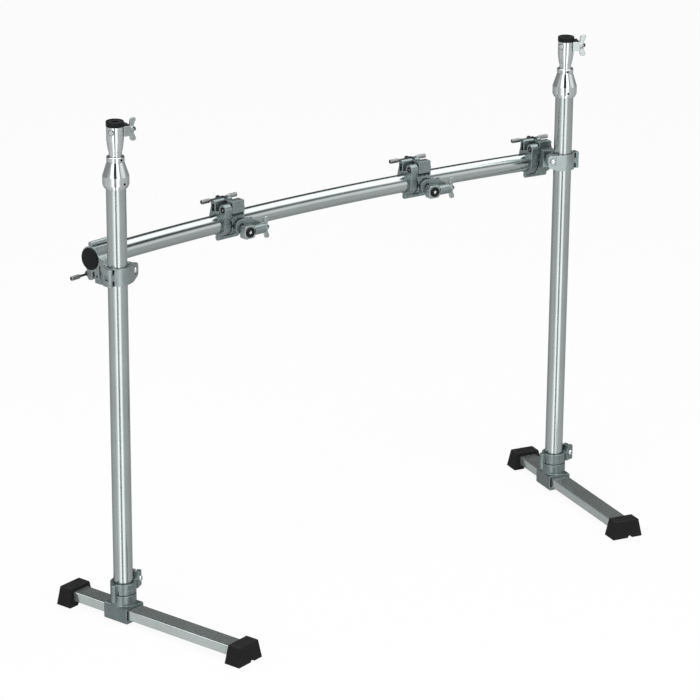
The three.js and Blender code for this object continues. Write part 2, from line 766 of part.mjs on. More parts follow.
function cornerArm(side, legX, legY) {
  const [rootFrom, rootTo] = side < 0 ? leftArmRoot : rightArmRoot;
  const plan = pushed('z', outline([
    [rootFrom, 0],
    [rootFrom, armBend],
    [legX - armEndHalf, legY + legRingRadius],
    [legX - armEndHalf, legY + armNose],
    [legX + armEndHalf, legY + armNose],
    [legX + armEndHalf, legY + legRingRadius],
    [rootTo, armBend],
    [rootTo, 0],
  ]), -cutterReach, cutterReach);
  const profile = [
    [-jawRadius / 2, -jawRadius],
    [-jawRadius / 2, 0],
    [armRootFront, side < 0 ? tubeRadius / 2 : tubeRadius],
    [armRootFront, side < 0 ? tubeRadius : gussetTop],
    [legY + legRingRadius, legRingRise + legRingHeight / 2],
    [legY + armNose, legRingRise + legRingHeight / 2],
    [legY + armNose, legRingRise - legRingHeight / 2],
    [-jawRadius, legRingRise - legRingHeight / 2 - knuckleRadius],
  ];
  const upright = pushed('x', outline(profile), -cutterReach, cutterReach);
  return plan.intersect(side < 0 ? upright.mirror([0, 0, 1]) : upright);
}

// Corner clamp. side -1 is the left leg, where the clamp hangs T-bolt down and the leg ring
// sits low; +1 is the right leg, whose ears and hinge are the mirror image
function cornerClamp(side) {
  const name = side < 0 ? 'left_corner' : 'right_corner';
  const angle = side * cornerBoltAngle;
  const group = onRail(angle);
  const away = new THREE.Vector3(side * halfSpacing, 0, 0).sub(group.position);
  away.applyAxisAngle(new THREE.Vector3(0, 0, 1), angle);
  const ringZ = side * legRingRise;
  const screwZ = ringZ + cornerEarTaper / 2;
  const handed = (body) => (side < 0 ? body : body.mirror([1, 0, 0]));
  const upright = (body) => (side < 0 ? body.rotate([0, 180, 0]) : body);
  const atLeg = (body) => handed(body).translate([away.x, away.y, 0]);
  const tongueRoom = block([strapHingeX, -cutterReach, ringZ - strapTongueHalf - gap],
    [-boreRadius, strapSplit / 2, ringZ + strapTongueHalf + gap]);
  const ringAndArm = cut(
    join(atLeg(legRingRear(ringZ)), cornerArm(side, away.x, away.y)),
    atLeg(join(
      legBore(-cutterReach, cutterReach),
      turnedEar(earNutPocket(cornerEarBoltAlong, screwZ)),
      tongueRoom,
    )),
    railBore(),
  );
  const bolting = join(
    rod('y', boltRadius + gap, boltFront - gap, 0, [0, boltZ], pinSides),
    block([blockLeft - gap, blockFront - gap, blockBottom - gap], [blockRight + gap, 0, cutterReach]),
  );
  const casting = cut(join(upright(frontJaw()), ringAndArm), upright(bolting));
  put(group, `${name}_casting`, casting, greyCasting);

  const loose = new THREE.Group();
  if (side < 0) loose.rotation.y = Math.PI;
  group.add(loose);
  putClampPieces(loose, name);
  put(group, `${name}_strap`, atLeg(legStrap(ringZ)), greyCasting);
  put(group, `${name}_strap_bolt`, atLeg(turnedEar(earBolt(cornerEarBoltAlong, screwZ, earRecess))), chrome);
}

cornerClamp(-1);
cornerClamp(1);

// Foot: a casting with a sleeve for the flat bar and a split collar for the leg; the bar has
// a rubber block on either end. In its own frame the bar runs along Y, its long end to -Y.
const barWidth = 40;
const barHeight = 19.5;
const barBottom = 10.6;
const barWall = 2;
const barCorner = 2;
const frontReach = 323.6;
const rearReach = 148.2;
const sleeveHalfWidth = 25.2;
const sleeveHalfLength = 29.5;
const sleeveBottom = 2.3;
const sleeveTop = 35.3;
const sleeveCorner = 3;
const sleeveSideGap = 1.2;
const collarTop = 80;
const collarSlit = 58.4;
const collarSlitHeight = 1.6;
const collarSlitBack = 12;
const legSeat = 36.6;
const footEarTurn = 21.6;
const footEarLength = 34;
const footEarBoltAlong = 25;
const footEarLow = 61;
const footEarHigh = 93;
const footBoltZ = 78;
const bossRadius = 6;
const bossLow = 44;
const bossOut = 2.5;
const rubberBottomHalf = 35.5;
const rubberTopHalf = 27.5;
const rubberLength = 36;
const rubberLean = 3;
const rubberHeight = 38;
const rubberWall = 6;
const rubberPocketGap = 0.5;
const notchRadius = 5;
const notchOffset = 6;
const notchSquash = 0.9;

const footEar = (body) => body.rotate([0, 0, footEarTurn]);

function footCasting() {
  const middle = (sleeveTop + sleeveBottom) / 2;
  const sleeve = pushed('y', roundedRectangle(sleeveHalfWidth, (sleeveTop - sleeveBottom) / 2,
    sleeveCorner, 0, middle), -sleeveHalfLength, sleeveHalfLength);
  const tower = legRing(legRingRadius, middle, collarTop);
  const boss = rod('z', bossRadius, bossLow, collarTop, [-(legRingRadius + bossOut), 0], smallSides);
  const levelSlit = cut(
    block([-cutterReach, -cutterReach, collarSlit - collarSlitHeight], [cutterReach, collarSlitBack, collarSlit]),
    block([-cutterReach, -cutterReach, 0], [-boreRadius - overrun / 2, cutterReach, cutterReach]),
  );
  const ear = { length: footEarLength, taper: 0, low: footEarLow, high: footEarHigh };
  const ears = join(frontEar(ear), rearEar(ear));
  const earGapCut = block([0, frontEarBack, collarSlit - gap], [cutterReach, rearEarFront, cutterReach]);
  const nutRoom = earNutPocket(footEarBoltAlong, footBoltZ);
  const channel = pushed('y', roundedRectangle(barWidth / 2 + sleeveSideGap, barHeight / 2 + gap,
    barCorner, 0, barBottom + barHeight / 2), -cutterReach, cutterReach);
  return cut(
    join(sleeve, tower, boss, footEar(ears)),
    levelSlit,
    footEar(join(earGapCut, nutRoom, earBoltHole(footEarBoltAlong, footBoltZ))),
    legBore(legSeat - gap, cutterReach),
    channel,
  );
}

// Flat bar, hollow and open at both ends
function footBar() {
  const middle = barBottom + barHeight / 2;
  const from = -frontReach + rubberWall;
  const to = rearReach - rubberWall;
  return cut(
    pushed('y', roundedRectangle(barWidth / 2, barHeight / 2, barCorner, 0, middle), from, to),
    pushed('y', roundedRectangle(barWidth / 2 - barWall, barHeight / 2 - barWall, barCorner / 2,
      0, middle), from - overrun, to + overrun),
  );
}

// Rubber block, drawn with its outer face at y = 0 and the bar coming from +Y. Its sides and
// faces lean inwards, and a round notch in the sole shows in the outer face
function rubberBlock() {
  const half = rubberLength / 2;
  const body = new THREE.BoxGeometry(rubberBottomHalf * 2, rubberLength, rubberHeight);
  body.translate(0, half, rubberHeight / 2);
  const places = body.attributes.position;
  for (let i = 0; i < places.count; i += 1) {
    if (places.getZ(i) > rubberHeight / 2) {
      places.setX(i, Math.sign(places.getX(i)) * rubberTopHalf);
      places.setY(i, half + Math.sign(places.getY(i) - half) * (half - rubberLean));
    }
  }
  const notch = rod('y', notchRadius, -overrun, half, [notchOffset, 0], pinSides).scale([1, 1, notchSquash]);
  const pocket = pushed('y', roundedRectangle(barWidth / 2 + rubberPocketGap,
    barHeight / 2 + rubberPocketGap, barCorner, 0, barBottom + barHeight / 2),
  rubberWall - rubberPocketGap, rubberLength + overrun);
  return cut(solid(body), notch, pocket);
}

function foot(side) {
  const name = side < 0 ? 'left_foot' : 'right_foot';
  const group = new THREE.Group();
  group.position.set(side * halfSpacing, 0, 0);
  group.rotation.z = -side * toeInAngle;
  rack.add(group);
  put(group, `${name}_casting`, footCasting(), greyCasting);
  put(group, `${name}_bolt`, footEar(earBolt(footEarBoltAlong, footBoltZ, 0)), chrome);
  put(group, `${name}_bar`, footBar(), barSteel);
  put(group, `${name}_front_rubber`, rubberBlock().translate([0, -frontReach, 0]), blackRubber);
  const rear = rubberBlock().rotate([0, 0, 180]).translate([0, rearReach, 0]);
  put(group, `${name}_rear_rubber`, rear, blackRubber);
}

foot(-1);
foot(1);

// Leg: a round tube with a chrome cone on top, held by set screws, and a socket for a boom
const coneRise = 155.5;
const coneChamfer = 6.5;
const coneBand = 17;
const coneTaper = 27;
const coneLip = 10;
const coneFootRadius = 22.6;
const coneRadius = 25.5;
const coneLipRadius = 17.2;
const coneShoulderRadius = 16.6;
const setScrewRadius = 2;
const setScrewDepth = 5;
const setScrewAngle = -38;
const neckRadius = 12.5;
const neckSeat = 22;
const neckShown = 9;
const shoulderHeight = 22;
const shoulderRadius = 14.6;
const socketRadius = 16.5;
const socketHeight = 49;
const socketBoreRadius = 10.6;
const socketBoreDepth = 36;
const lugFront = -14;
const lugBack = 9;
const lugEnd = 27;
const lugHeight = 19.5;
const lugCorner = 2;
const lugBoltY = -2.5;
const rivetRadius = 5.2;
const rivetProud = 0.9;
const rivetAngle = 218;
const capRise = 10;
const capProud = 0.7;
const capBevel = 1.6;
const capBore = 6.5;
const capPlug = 12;
const gasketHeight = 2;
const leftSocketTurn = -8;
const rightSocketTurn = -29;

const coneLow = railHeight + coneRise;
const bandTop = coneLow + coneChamfer + coneBand;
const lipLow = bandTop + coneTaper;
const coneTop = lipLow + coneLip;
const socketLow = coneTop + neckShown;
const socketTop = socketLow + socketHeight;
const lugBoltZ = socketTop - lugHeight / 2;

function legTube() {
  const top = bandTop - overrun / 2;
  return cut(
    rod('z', tubeRadius, legSeat, top, [0, 0], tubeSides),
    rod('z', tubeRadius - tubeWall, legSeat - overrun, top + overrun, [0, 0], innerSides),
  );
}

function coneCollar() {
  const outside = turned('z', [
    [0, coneLow],
    [coneFootRadius, coneLow],
    [coneRadius, coneLow + coneChamfer],
    [coneRadius, bandTop],
    [coneShoulderRadius, lipLow],
    [coneLipRadius, lipLow + overrun / 2],
    [coneLipRadius, coneTop - overrun / 2],
    [coneLipRadius - overrun / 2, coneTop],
    [0, coneTop],
  ], [0, 0], tubeSides);
  const screwHole = (radius, z) => rod('x', setScrewRadius, radius - setScrewDepth, radius + overrun,
    [0, z], pinSides).rotate([0, 0, setScrewAngle]);
  return cut(
    outside,
    rod('z', boreRadius, coneLow - overrun, bandTop - gap, [0, 0], tubeSides),
    rod('z', neckRadius + gap, coneLow, coneTop + overrun, [0, 0], tubeSides),
    screwHole(coneLipRadius, lipLow + coneLip / 2),
    screwHole(coneRadius, coneLow + coneChamfer + setScrewRadius * 2),
  );
}

function socketBody() {
  const body = turned('z', [
    [0, bandTop - neckSeat],
    [neckRadius, bandTop - neckSeat],
    [neckRadius, socketLow],
    [shoulderRadius, socketLow + shoulderHeight / 3],
    [socketRadius, socketLow + shoulderHeight],
    [socketRadius, socketTop],
    [0, socketTop],
  ], [0, 0], tubeSides);
  const lug = pushed('y', outline([
    [0, socketTop - lugHeight],
    [lugEnd, socketTop - lugHeight, lugCorner],
    [lugEnd, socketTop, lugCorner],
    [0, socketTop],
  ]), lugFront, lugBack);
  const rivet = rod('x', rivetRadius, socketBoreRadius + overrun, socketRadius + rivetProud,
    [0, lugBoltZ], smallSides).rotate([0, 0, rivetAngle]);
  return cut(
    join(body, lug, rivet),
    rod('z', socketBoreRadius, socketTop - socketBoreDepth, socketTop + overrun, [0, 0], tubeSides),
    rod('x', shankRadius + gap, 0, cutterReach, [lugBoltY, lugBoltZ], pinSides),
  );
}

// Plastic insert: plug in the bore, domed cap above it, and a lip over the lug
function socketCap() {
  const base = socketTop + gap;
  const cap = turned('z', [
    [0, socketTop - capPlug],
    [socketBoreRadius - gap, socketTop - capPlug],
    [socketBoreRadius - gap, base],
    [socketRadius + capProud, base],
    [socketRadius + capProud, base + capRise - capBevel],
    [socketRadius - capBevel, base + capRise],
    [0, base + capRise],
  ], [0, 0], tubeSides);
  const lip = block([0, lugFront + lugCorner, base], [lugEnd - lugCorner, lugBack, base + gasketHeight]);
  const bore = rod('z', capBore, socketTop - capPlug - overrun, base + capRise + overrun, [0, 0]);
  const boltRoom = rod('x', shankRadius + gap * 2, 0, cutterReach, [lugBoltY, lugBoltZ], pinSides);
  return cut(join(cap, lip), bore, boltRoom);
}

function leg(side) {
  const name = side < 0 ? 'left' : 'right';
  const group = new THREE.Group();
  group.position.set(side * halfSpacing, 0, 0);
  rack.add(group);
  put(group, `${name}_leg_tube`, legTube(), brushedSteel);
  put(group, `${name}_cone_collar`, coneCollar(), chrome);
  const top = new THREE.Group();
  top.rotation.z = ((side < 0 ? leftSocketTurn : rightSocketTurn) * Math.PI) / 180;
  group.add(top);
  put(top, `${name}_socket`, socketBody(), chrome);
  put(top, `${name}_socket_cap`, socketCap(), blackPlastic);
  const bolt = rod('x', shankRadius, socketBoreRadius + overrun, lugEnd + wingHubLength + wingThickness,
    [lugBoltY, lugBoltZ], pinSides);
  put(top, `${name}_socket_bolt`, bolt, darkSteel);
  put(top, `${name}_socket_wing_nut`, wingNut(lugEnd + gap, [lugBoltY, lugBoltZ]), lightCasting);
}

leg(-1);
leg(1);

// Stand the rack on the middle of its footprint
const extent = new THREE.Box3().setFromObject(rack, true);
rack.position.y = -(extent.min.y + extent.max.y) / 2;
rack.position.x = -(extent.min.x + extent.max.x) / 2;

export default rack;
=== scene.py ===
import bpy
import bmesh
import json
from math import asin, cos, degrees, pi, radians, sin
from mathutils import Matrix, Vector


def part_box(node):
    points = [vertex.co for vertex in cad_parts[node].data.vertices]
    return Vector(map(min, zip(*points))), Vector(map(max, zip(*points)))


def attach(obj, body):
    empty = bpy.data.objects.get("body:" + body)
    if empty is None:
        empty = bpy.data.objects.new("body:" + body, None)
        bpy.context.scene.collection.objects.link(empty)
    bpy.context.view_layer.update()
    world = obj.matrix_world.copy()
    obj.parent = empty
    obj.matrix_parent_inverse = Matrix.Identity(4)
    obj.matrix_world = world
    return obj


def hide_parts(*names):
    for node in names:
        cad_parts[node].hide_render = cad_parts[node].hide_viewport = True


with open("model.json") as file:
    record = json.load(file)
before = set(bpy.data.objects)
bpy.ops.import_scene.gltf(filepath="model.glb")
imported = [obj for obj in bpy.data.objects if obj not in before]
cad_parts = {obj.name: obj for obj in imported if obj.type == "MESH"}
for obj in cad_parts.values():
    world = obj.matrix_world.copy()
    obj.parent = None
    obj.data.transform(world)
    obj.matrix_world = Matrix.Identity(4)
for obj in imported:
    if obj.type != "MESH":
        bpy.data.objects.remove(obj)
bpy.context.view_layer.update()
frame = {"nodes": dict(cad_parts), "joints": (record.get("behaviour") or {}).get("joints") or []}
scene = bpy.context.scene


# Camera: the photograph was taken from the front left of the rack, a little above it,
# with a long lens. The place, the turn and the lens were fitted to the tubes' edges.
photo_pixels = 700
sensor_width = 36
lens_pixels = 2931.7
picture_centre_lift = 70
camera_reach = 60
camera_place = Vector((-3.525851, -4.300564, 2.408343))
camera_yaw = 0.67634
camera_pitch = 0.31322
camera_roll = 0.00705

view = Vector((
    sin(camera_yaw) * cos(camera_pitch),
    cos(camera_yaw) * cos(camera_pitch),
    -sin(camera_pitch),
))
level_right = view.cross(Vector((0, 0, 1))).normalized()
level_up = level_right.cross(view)
right = cos(camera_roll) * level_right + sin(camera_roll) * level_up
up = right.cross(view)
camera_turn = Matrix((right, up, -view)).transposed().to_4x4()


def linked(name, data):
    """New object in the scene."""
    thing = bpy.data.objects.new(name, data)
    scene.collection.objects.link(thing)
    return thing


camera_data = bpy.data.cameras.new("camera")
camera_data.sensor_width = sensor_width
camera_data.lens = lens_pixels * sensor_width / photo_pixels
camera_data.shift_y = -picture_centre_lift / photo_pixels
camera_data.clip_end = camera_reach
camera = linked("camera", camera_data)
camera.matrix_world = Matrix.Translation(camera_place) @ camera_turn
scene.camera = camera


# Studio: a white backdrop and a pale floor. The metal also sees two tall light panels on the
# camera's side with a dark strip between them, a bright ceiling, and the dimmer room.
room_light = 0.66
floor_half = 12
floor_colour = (0.93, 0.935, 0.935, 1)
floor_glow_share = 0.92
white = (1, 1, 1, 1)
middle_of_rack = Vector((0, 0, 0.5))

scene.view_settings.view_transform = "Standard"


def feed(node, inputs):
    """Set a node's inputs, by name or number, to values or link them to sockets."""
    for key, value in inputs.items():
        if isinstance(value, bpy.types.NodeSocket):
            node.id_data.links.new(value, node.inputs[key])
        else:
            node.inputs[key].default_value = value


def add(tree, kind, inputs=None, **settings):
    """Add a shader node of a kind, named without its prefix."""
    node = tree.nodes.new(f"ShaderNode{kind}")
    for name, value in settings.items():
        setattr(node, name, value)
    feed(node, inputs or {})
    return node


def cleared(owner):
    """Emptied node tree of a world or a material."""
    owner.use_nodes = True
    owner.node_tree.nodes.clear()
    return owner.node_tree


def ramp(tree, source, *stops):
    """Brightness read off (place, brightness) stops by a value from 0 to 1."""
    scale = add(tree, "ValToRGB", {"Fac": source})
    elements = scale.color_ramp.elements
    while len(elements) < len(stops):
        elements.new(0.5)
    for element, (place, level) in zip(elements, stops):
        element.position = place
        element.color = (level, level, level, 1)
    return scale.outputs["Color"]


def mixed(tree, share, first, second):
    """Mix two colours."""
    inputs = {0: share, 6: first, 7: second}
    return add(tree, "Mix", inputs, data_type="RGBA").outputs[2]


def blended(tree, share, first, second):
    """Mix what two shader nodes give."""
    inputs = {0: share, 1: first.outputs[0], 2: second.outputs[0]}
    return add(tree, "MixShader", inputs)


def calculated(tree, operation, *values):
    return add(tree, "Math", dict(enumerate(values)), operation=operation).outputs[0]


def seen_in_metal(tree, path):
    return calculated(tree, "MAXIMUM", path["Is Glossy Ray"], path["Is Transmission Ray"])


world = bpy.data.worlds.new("studio")
scene.world = world
tree = cleared(world)
direction = add(tree, "TexCoord").outputs["Generated"]
to_camera = add(tree, "Mapping", {"Vector": direction, "Rotation": (0, 0, camera_yaw)},
                vector_type="VECTOR")
split = add(tree, "SeparateXYZ", {"Vector": to_camera.outputs["Vector"]}).outputs

# Round the horizon: 0.5 is towards the camera, and a quarter is 90 degrees from it
bearing = calculated(tree, "ARCTAN2", split["X"], calculated(tree, "MULTIPLY", split["Y"], -1))
around = calculated(tree, "MULTIPLY_ADD", bearing, 0.5 / pi, 0.5)
height = calculated(tree, "MULTIPLY_ADD", split["Z"], 0.5, 0.5)
low_panels = ramp(
    tree, around, (0, 0.4), (0.12, 0.52), (0.28, 0.95), (0.36, 0.95), (0.41, 1.5),
    (0.44, 3), (0.468, 2.8), (0.475, 0.5), (0.521, 0.42), (0.534, 2.8), (0.585, 2.6),
    (0.61, 0.95), (0.74, 0.85), (1, 0.4),
)
high_panels = ramp(
    tree, around, (0, 0.2), (0.25, 0.5), (0.33, 0.35), (0.36, 0.8), (0.4, 3), (0.455, 3),
    (0.464, 0.03), (0.534, 0.03), (0.545, 3), (0.6, 3), (0.625, 0.3), (0.68, 1.6),
    (0.74, 1.6), (0.8, 0.6), (1, 0.2),
)
above_horizon = ramp(tree, height, (0.4, 0), (0.53, 1))
side_panels = mixed(tree, above_horizon, low_panels, high_panels)

# Up the wall: dim above the far backdrop and above the panels, bright overhead
far_wall = ramp(
    tree, height, (0, 0.8), (0.5, 0.7), (0.53, 0.12), (0.81, 0.06), (0.86, 3), (1, 3.4),
)
near_wall = ramp(
    tree, height, (0, 0.8), (0.66, 1.4), (0.71, 0.42), (0.79, 0.42), (0.85, 3), (1, 3.4),
)
nearness = calculated(tree, "MULTIPLY_ADD", split["Y"], -0.5, 0.5)
near_side = ramp(tree, nearness, (0.45, 0), (0.6, 1))
low_part = ramp(tree, height, (0.62, 1), (0.68, 0))
tall_part = ramp(tree, height, (0.8, 1), (0.84, 0))
between = ramp(tree, around, (0.33, 0), (0.36, 1), (0.64, 1), (0.67, 0))
tall_panels = calculated(tree, "MULTIPLY", tall_part, between)
panel_share = calculated(tree, "MAXIMUM", low_part, tall_panels)
wall = mixed(tree, near_side, far_wall, near_wall)
studio_sight = mixed(tree, panel_share, wall, side_panels)

path = add(tree, "LightPath").outputs
seen = calculated(tree, "MAXIMUM", path["Is Camera Ray"], seen_in_metal(tree, path))
sight = mixed(tree, path["Is Camera Ray"], studio_sight, white)
backdrop = add(tree, "Background", {"Color": sight})
room = add(tree, "Background", {"Strength": room_light})
surroundings = blended(tree, seen, room, backdrop)
add(tree, "OutputWorld", {"Surface": surroundings.outputs[0]})

bm = bmesh.new()
bmesh.ops.create_grid(bm, x_segments=1, y_segments=1, size=floor_half)
floor_mesh = bpy.data.meshes.new("floor")
bm.to_mesh(floor_mesh)
bm.free()
floor = linked("floor", floor_mesh)

# The floor takes shadows, shows white to the camera, and lets the metal see the studio
floor_material = bpy.data.materials.new("pale floor")
tree = cleared(floor_material)
path = add(tree, "LightPath").outputs
matt = add(tree, "BsdfDiffuse", {"Color": floor_colour})
glow = add(tree, "Emission", {"Color": white})
glow_share = calculated(tree, "MULTIPLY", path["Is Camera Ray"], floor_glow_share)
pale = blended(tree, glow_share, matt, glow)
through = add(tree, "BsdfTransparent")
floor_shader = blended(tree, seen_in_metal(tree, path), pale, through)
add(tree, "OutputMaterial", {"Surface": floor_shader.outputs[0]})
floor.data.materials.append(floor_material)


def soft_box(name, azimuth, distance, height, wide, tall, power):
    """Area lamp round the rack, turned to its middle and kept out of the metal."""
    lamp = bpy.data.lights.new(name, "AREA")
    lamp.shape = "RECTANGLE"
    lamp.size = wide
    lamp.size_y = tall
    lamp.energy = power
    box = linked(name, lamp)
    turn = radians(azimuth)
    box.location = (distance * sin(turn), -distance * cos(turn), height)
    box.rotation_euler = (middle_of_rack - box.location).to_track_quat("-Z", "Y").to_euler()
    box.visible_glossy = False


soft_box("left soft box", -75, 4.6, 1.9, 2.2, 2.6, 55)
soft_box("right soft box", 10, 4.8, 2.2, 2.2, 2.6, 45)
soft_box("overhead soft box", -30, 0.6, 4.4, 3.2, 3.2, 75)


# Foot bars: flat steel box section, satin finished, one through each foot. They toe in
# towards the drummer, and each end sits in a rubber block.
mm = 0.001
leg_spacing = 1137.5
toe_in = 0.2335
bar_width = 40
bar_height = 19.5
bar_bottom = 10.6
bar_middle = bar_bottom + bar_height / 2
bar_front = -317.6
bar_back = 142.2
bar_corner = 2
bump_height = 0.0001
sharp_rim = radians(50)
corner_steps = 3
sides = {"left": -1, "right": 1}


def finish_group(name, *extras):
    """Start a surface effect: its tree, what it is given, and the place on the object."""
    group = bpy.data.node_groups.new(name, "ShaderNodeTree")
    vector = "NodeSocketVector"
    kinds = {"Colour": "NodeSocketColor", "Stretch": vector, "Normal": vector}
    for in_out, labels in (
        ("INPUT", ("Colour", *extras, "Scale", "Roughness", "Depth")),
        ("OUTPUT", ("Colour", "Roughness", "Normal")),
    ):
        for label in labels:
            kind = kinds.get(label, "NodeSocketFloat")
            group.interface.new_socket(name=label, in_out=in_out, socket_type=kind)
    given = group.nodes.new("NodeGroupInput").outputs
    return group, given, add(group, "TexCoord").outputs["Object"]


def end_group(group, given, tone, patchy, height, **under):
    """End a surface effect: a tone on the colour, a patchy roughness and a bumped normal."""
    colour = add(group, "VectorMath", {0: given["Colour"], "Scale": tone}, operation="SCALE")
    bump = add(group, "Bump", {
        "Distance": bump_height, "Height": height, "Strength": given["Depth"], **under,
    })
    feed(group.nodes.new("NodeGroupOutput"), {
        "Colour": colour.outputs["Vector"],
        "Roughness": calculated(group, "ADD", patchy, given["Roughness"]),
        "Normal": bump.outputs["Normal"],
    })


def noise(tree, place, scale, detail=3):
    inputs = {"Vector": place, "Scale": scale, "Detail": detail}
    return add(tree, "TexNoise", inputs).outputs[0]


def spread(tree, value, low, high, source_low=0.3, source_high=0.7):
    """Carry a value from its own range to another."""
    return add(tree, "MapRange", {
        "Value": value, "From Min": source_low, "From Max": source_high,
        "To Min": low, "To Max": high,
    }).outputs[0]


# Brushed metal: fine lines stretched along one axis, and faint smudges
brushed, given, place = finish_group("brushed grain", "Stretch")
stretched = add(brushed, "VectorMath", {0: place, 1: given["Stretch"]}, operation="MULTIPLY")
lines = noise(brushed, stretched.outputs[0], given["Scale"])
smudges = noise(brushed, place, 9, 4)
tone = calculated(
    brushed, "MULTIPLY", spread(brushed, smudges, 0.94, 1.05), spread(brushed, lines, 0.97, 1.03),
)
patchy = calculated(
    brushed, "ADD", spread(brushed, lines, -0.015, 0.02), spread(brushed, smudges, -0.02, 0.03),
)
end_group(brushed, given, tone, patchy, lines)


def finish(name, group, metallic, specular=0.5, **values):
    """Material whose colour, roughness and normal come from a surface effect."""
    material = bpy.data.materials.new(name)
    material.use_nodes = True
    tree = material.node_tree
    inputs = {label.capitalize(): value for label, value in values.items()}
    effect = add(tree, "Group", inputs, node_tree=group).outputs
    feed(tree.nodes["Principled BSDF"], {
        "Metallic": metallic,
        "Specular IOR Level": specular,
        "Base Color": effect["Colour"],
        "Roughness": effect["Roughness"],
        "Normal": effect["Normal"],
    })
    return material


bar_steel = finish("satin bar steel", brushed, 0.76, colour=(0.43, 0.475, 0.466, 1),
                   stretch=(1, 0.05, 1), scale=600, roughness=0.15, depth=0.01)


def piece(name, bm, place, material, body, node=None, sharp=35, even=False):
    """Set a mesh drawn in millimetres in its place, shade it and tie it to its body."""
    bm.transform(place @ Matrix.Scale(mm, 4))
    limit = radians(sharp)
    for face in bm.faces:
        face.smooth = True
    for edge in bm.edges:
        edge.smooth = len(edge.link_faces) == 2 and edge.calc_face_angle(0) < limit
    mesh = bpy.data.meshes.new(name)
    bm.to_mesh(mesh)
    bm.free()
    mesh.materials.append(material)
    shown = linked(name, mesh)
    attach(shown, body)
    if node:
        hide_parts(node)
    if even:
        weighted = shown.modifiers.new("even shading", "WEIGHTED_NORMAL")
        weighted.keep_sharp = True
        weighted.weight = 90


def softened(bm, geom, offset, steps=corner_steps, affect="EDGES"):
    """Round edges, or the corners of an outline."""
    bmesh.ops.bevel(bm, geom=geom, offset=offset, offset_type="OFFSET", segments=steps, profile=0.5,
                    affect=affect, material=-1, clamp_overlap=affect == "EDGES")


def sharp_edges(bm, limit=sharp_rim):
    return [edge for edge in bm.edges if edge.calc_face_angle(0) > limit]


def outwards(bm, move=Matrix()):
    """Move a mesh and turn its faces outwards."""
    bmesh.ops.transform(bm, matrix=move, verts=bm.verts)
    bmesh.ops.recalc_face_normals(bm, faces=bm.faces)
    return bm


def pushed(bm, start, end):
    """Push flat faces drawn at height 0 into a solid from start to end."""
    grown = bmesh.ops.extrude_face_region(bm, geom=bm.faces[:], use_keep_orig=True)
    top = [item for item in grown["geom"] if isinstance(item, bmesh.types.BMVert)]
    bmesh.ops.translate(bm, verts=top, vec=(0, 0, end - start))
    outwards(bm, Matrix.Translation((0, 0, start)))


def laid(bm, axis, centre=(0, 0)):
    """Lay a mesh drawn along Z along an axis, through a point of the plane across it."""
    u, v = centre
    turn, shift = {
        "x": (Matrix(((0, 0, 1), (1, 0, 0), (0, 1, 0))), (0, u, v)),
        "y": (Matrix(((1, 0, 0), (0, 0, 1), (0, 1, 0))), (u, 0, v)),
        "z": (Matrix.Identity(3), (u, v, 0)),
    }[axis]
    return outwards(bm, Matrix.Translation(shift) @ turn.to_4x4())


def slab(outline, axis, start, end, corners=0, rounding=0):
    """Push an outline along an axis: corners rounds the outline, rounding softens its rims."""
    bm = bmesh.new()
    dots = [bm.verts.new((u, v, 0)) for u, v in outline]
    bm.faces.new(dots)
    if corners:
        softened(bm, dots, corners, affect="VERTICES")
    pushed(bm, start, end)
    if rounding:
        softened(bm, sharp_edges(bm), rounding)
    return laid(bm, axis)


def rectangle(half_width, half_height, centre=(0, 0)):
    u, v = centre
    return [
        (u - half_width, v - half_height), (u + half_width, v - half_height),
        (u + half_width, v + half_height), (u - half_width, v + half_height),
    ]


def about_z(angle):
    return Matrix.Rotation(angle, 4, "Z")


leg_y = sum(corner.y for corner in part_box("left_leg_tube")) / 2
leg_places = {
    name: Matrix.Translation((side * leg_spacing / 2 * mm, leg_y, 0))
    for name, side in sides.items()
}
foot_places = {
    name: leg_places[name] @ about_z(-side * toe_in) for name, side in sides.items()
}
for name, stand in foot_places.items():
    section = rectangle(bar_width / 2, bar_height / 2, (0, bar_middle))
    bar = slab(section, "y", bar_front, bar_back, bar_corner)
    piece(f"{name}_flat_bar", bar, stand, bar_steel, f"{name}_foot",
          f"{name}_foot_bar", 35, True)


# Rubber blocks: moulded black rubber pushed over the ends of each foot bar. Their sides lean
# in, ribs cross the top, and the sole has a round notch that shows in the outer face.
block_foot_half = 35.5
block_top_half = 27.5
block_length = 36
block_height = 38
block_lean = 3
block_rounding = 2.2
block_edge = radians(40)
notch_radius = 5
notch_middle = 6
notch_clear = 6
notch_steps = 8
rib_count = 6
rib_first = 7
rib_step = 4.4
rib_half = 0.9
rib_proud = 0.9
rib_sunk = 0.3
rib_inset = 5
front_reach = 323.6
rear_reach = 148.2

# Moulded skin: a fine even grain, with a little dust that lightens what faces up
moulded, given, place = finish_group("moulded skin", "Dust")
normal = add(moulded, "NewGeometry").outputs["Normal"]
facing = add(moulded, "SeparateXYZ", {"Vector": normal}).outputs["Z"]
grain = noise(moulded, place, given["Scale"])
patches = noise(moulded, place, 28, 4)
settled = calculated(moulded, "MULTIPLY", spread(moulded, facing, 0, 1, 0.2, 1), given["Dust"])
settled = calculated(moulded, "MULTIPLY", settled, spread(moulded, patches, 0.5, 1.2))
tone = calculated(moulded, "ADD", spread(moulded, grain, 0.9, 1.1), settled)
end_group(moulded, given, tone, spread(moulded, patches, -0.05, 0.05), grain)

rubber = finish("black rubber", moulded, 0, specular=0.12, colour=(0.0105, 0.0105, 0.0105, 1),
                dust=0.5, scale=1100, roughness=0.72, depth=0.25)


def gathered(*parts):
    """Put several meshes of one piece together."""
    whole = bmesh.new()
    for part in parts:
        carrier = bpy.data.meshes.new("carrier")
        part.to_mesh(carrier)
        part.free()
        whole.from_mesh(carrier)
        bpy.data.meshes.remove(carrier)
    return whole


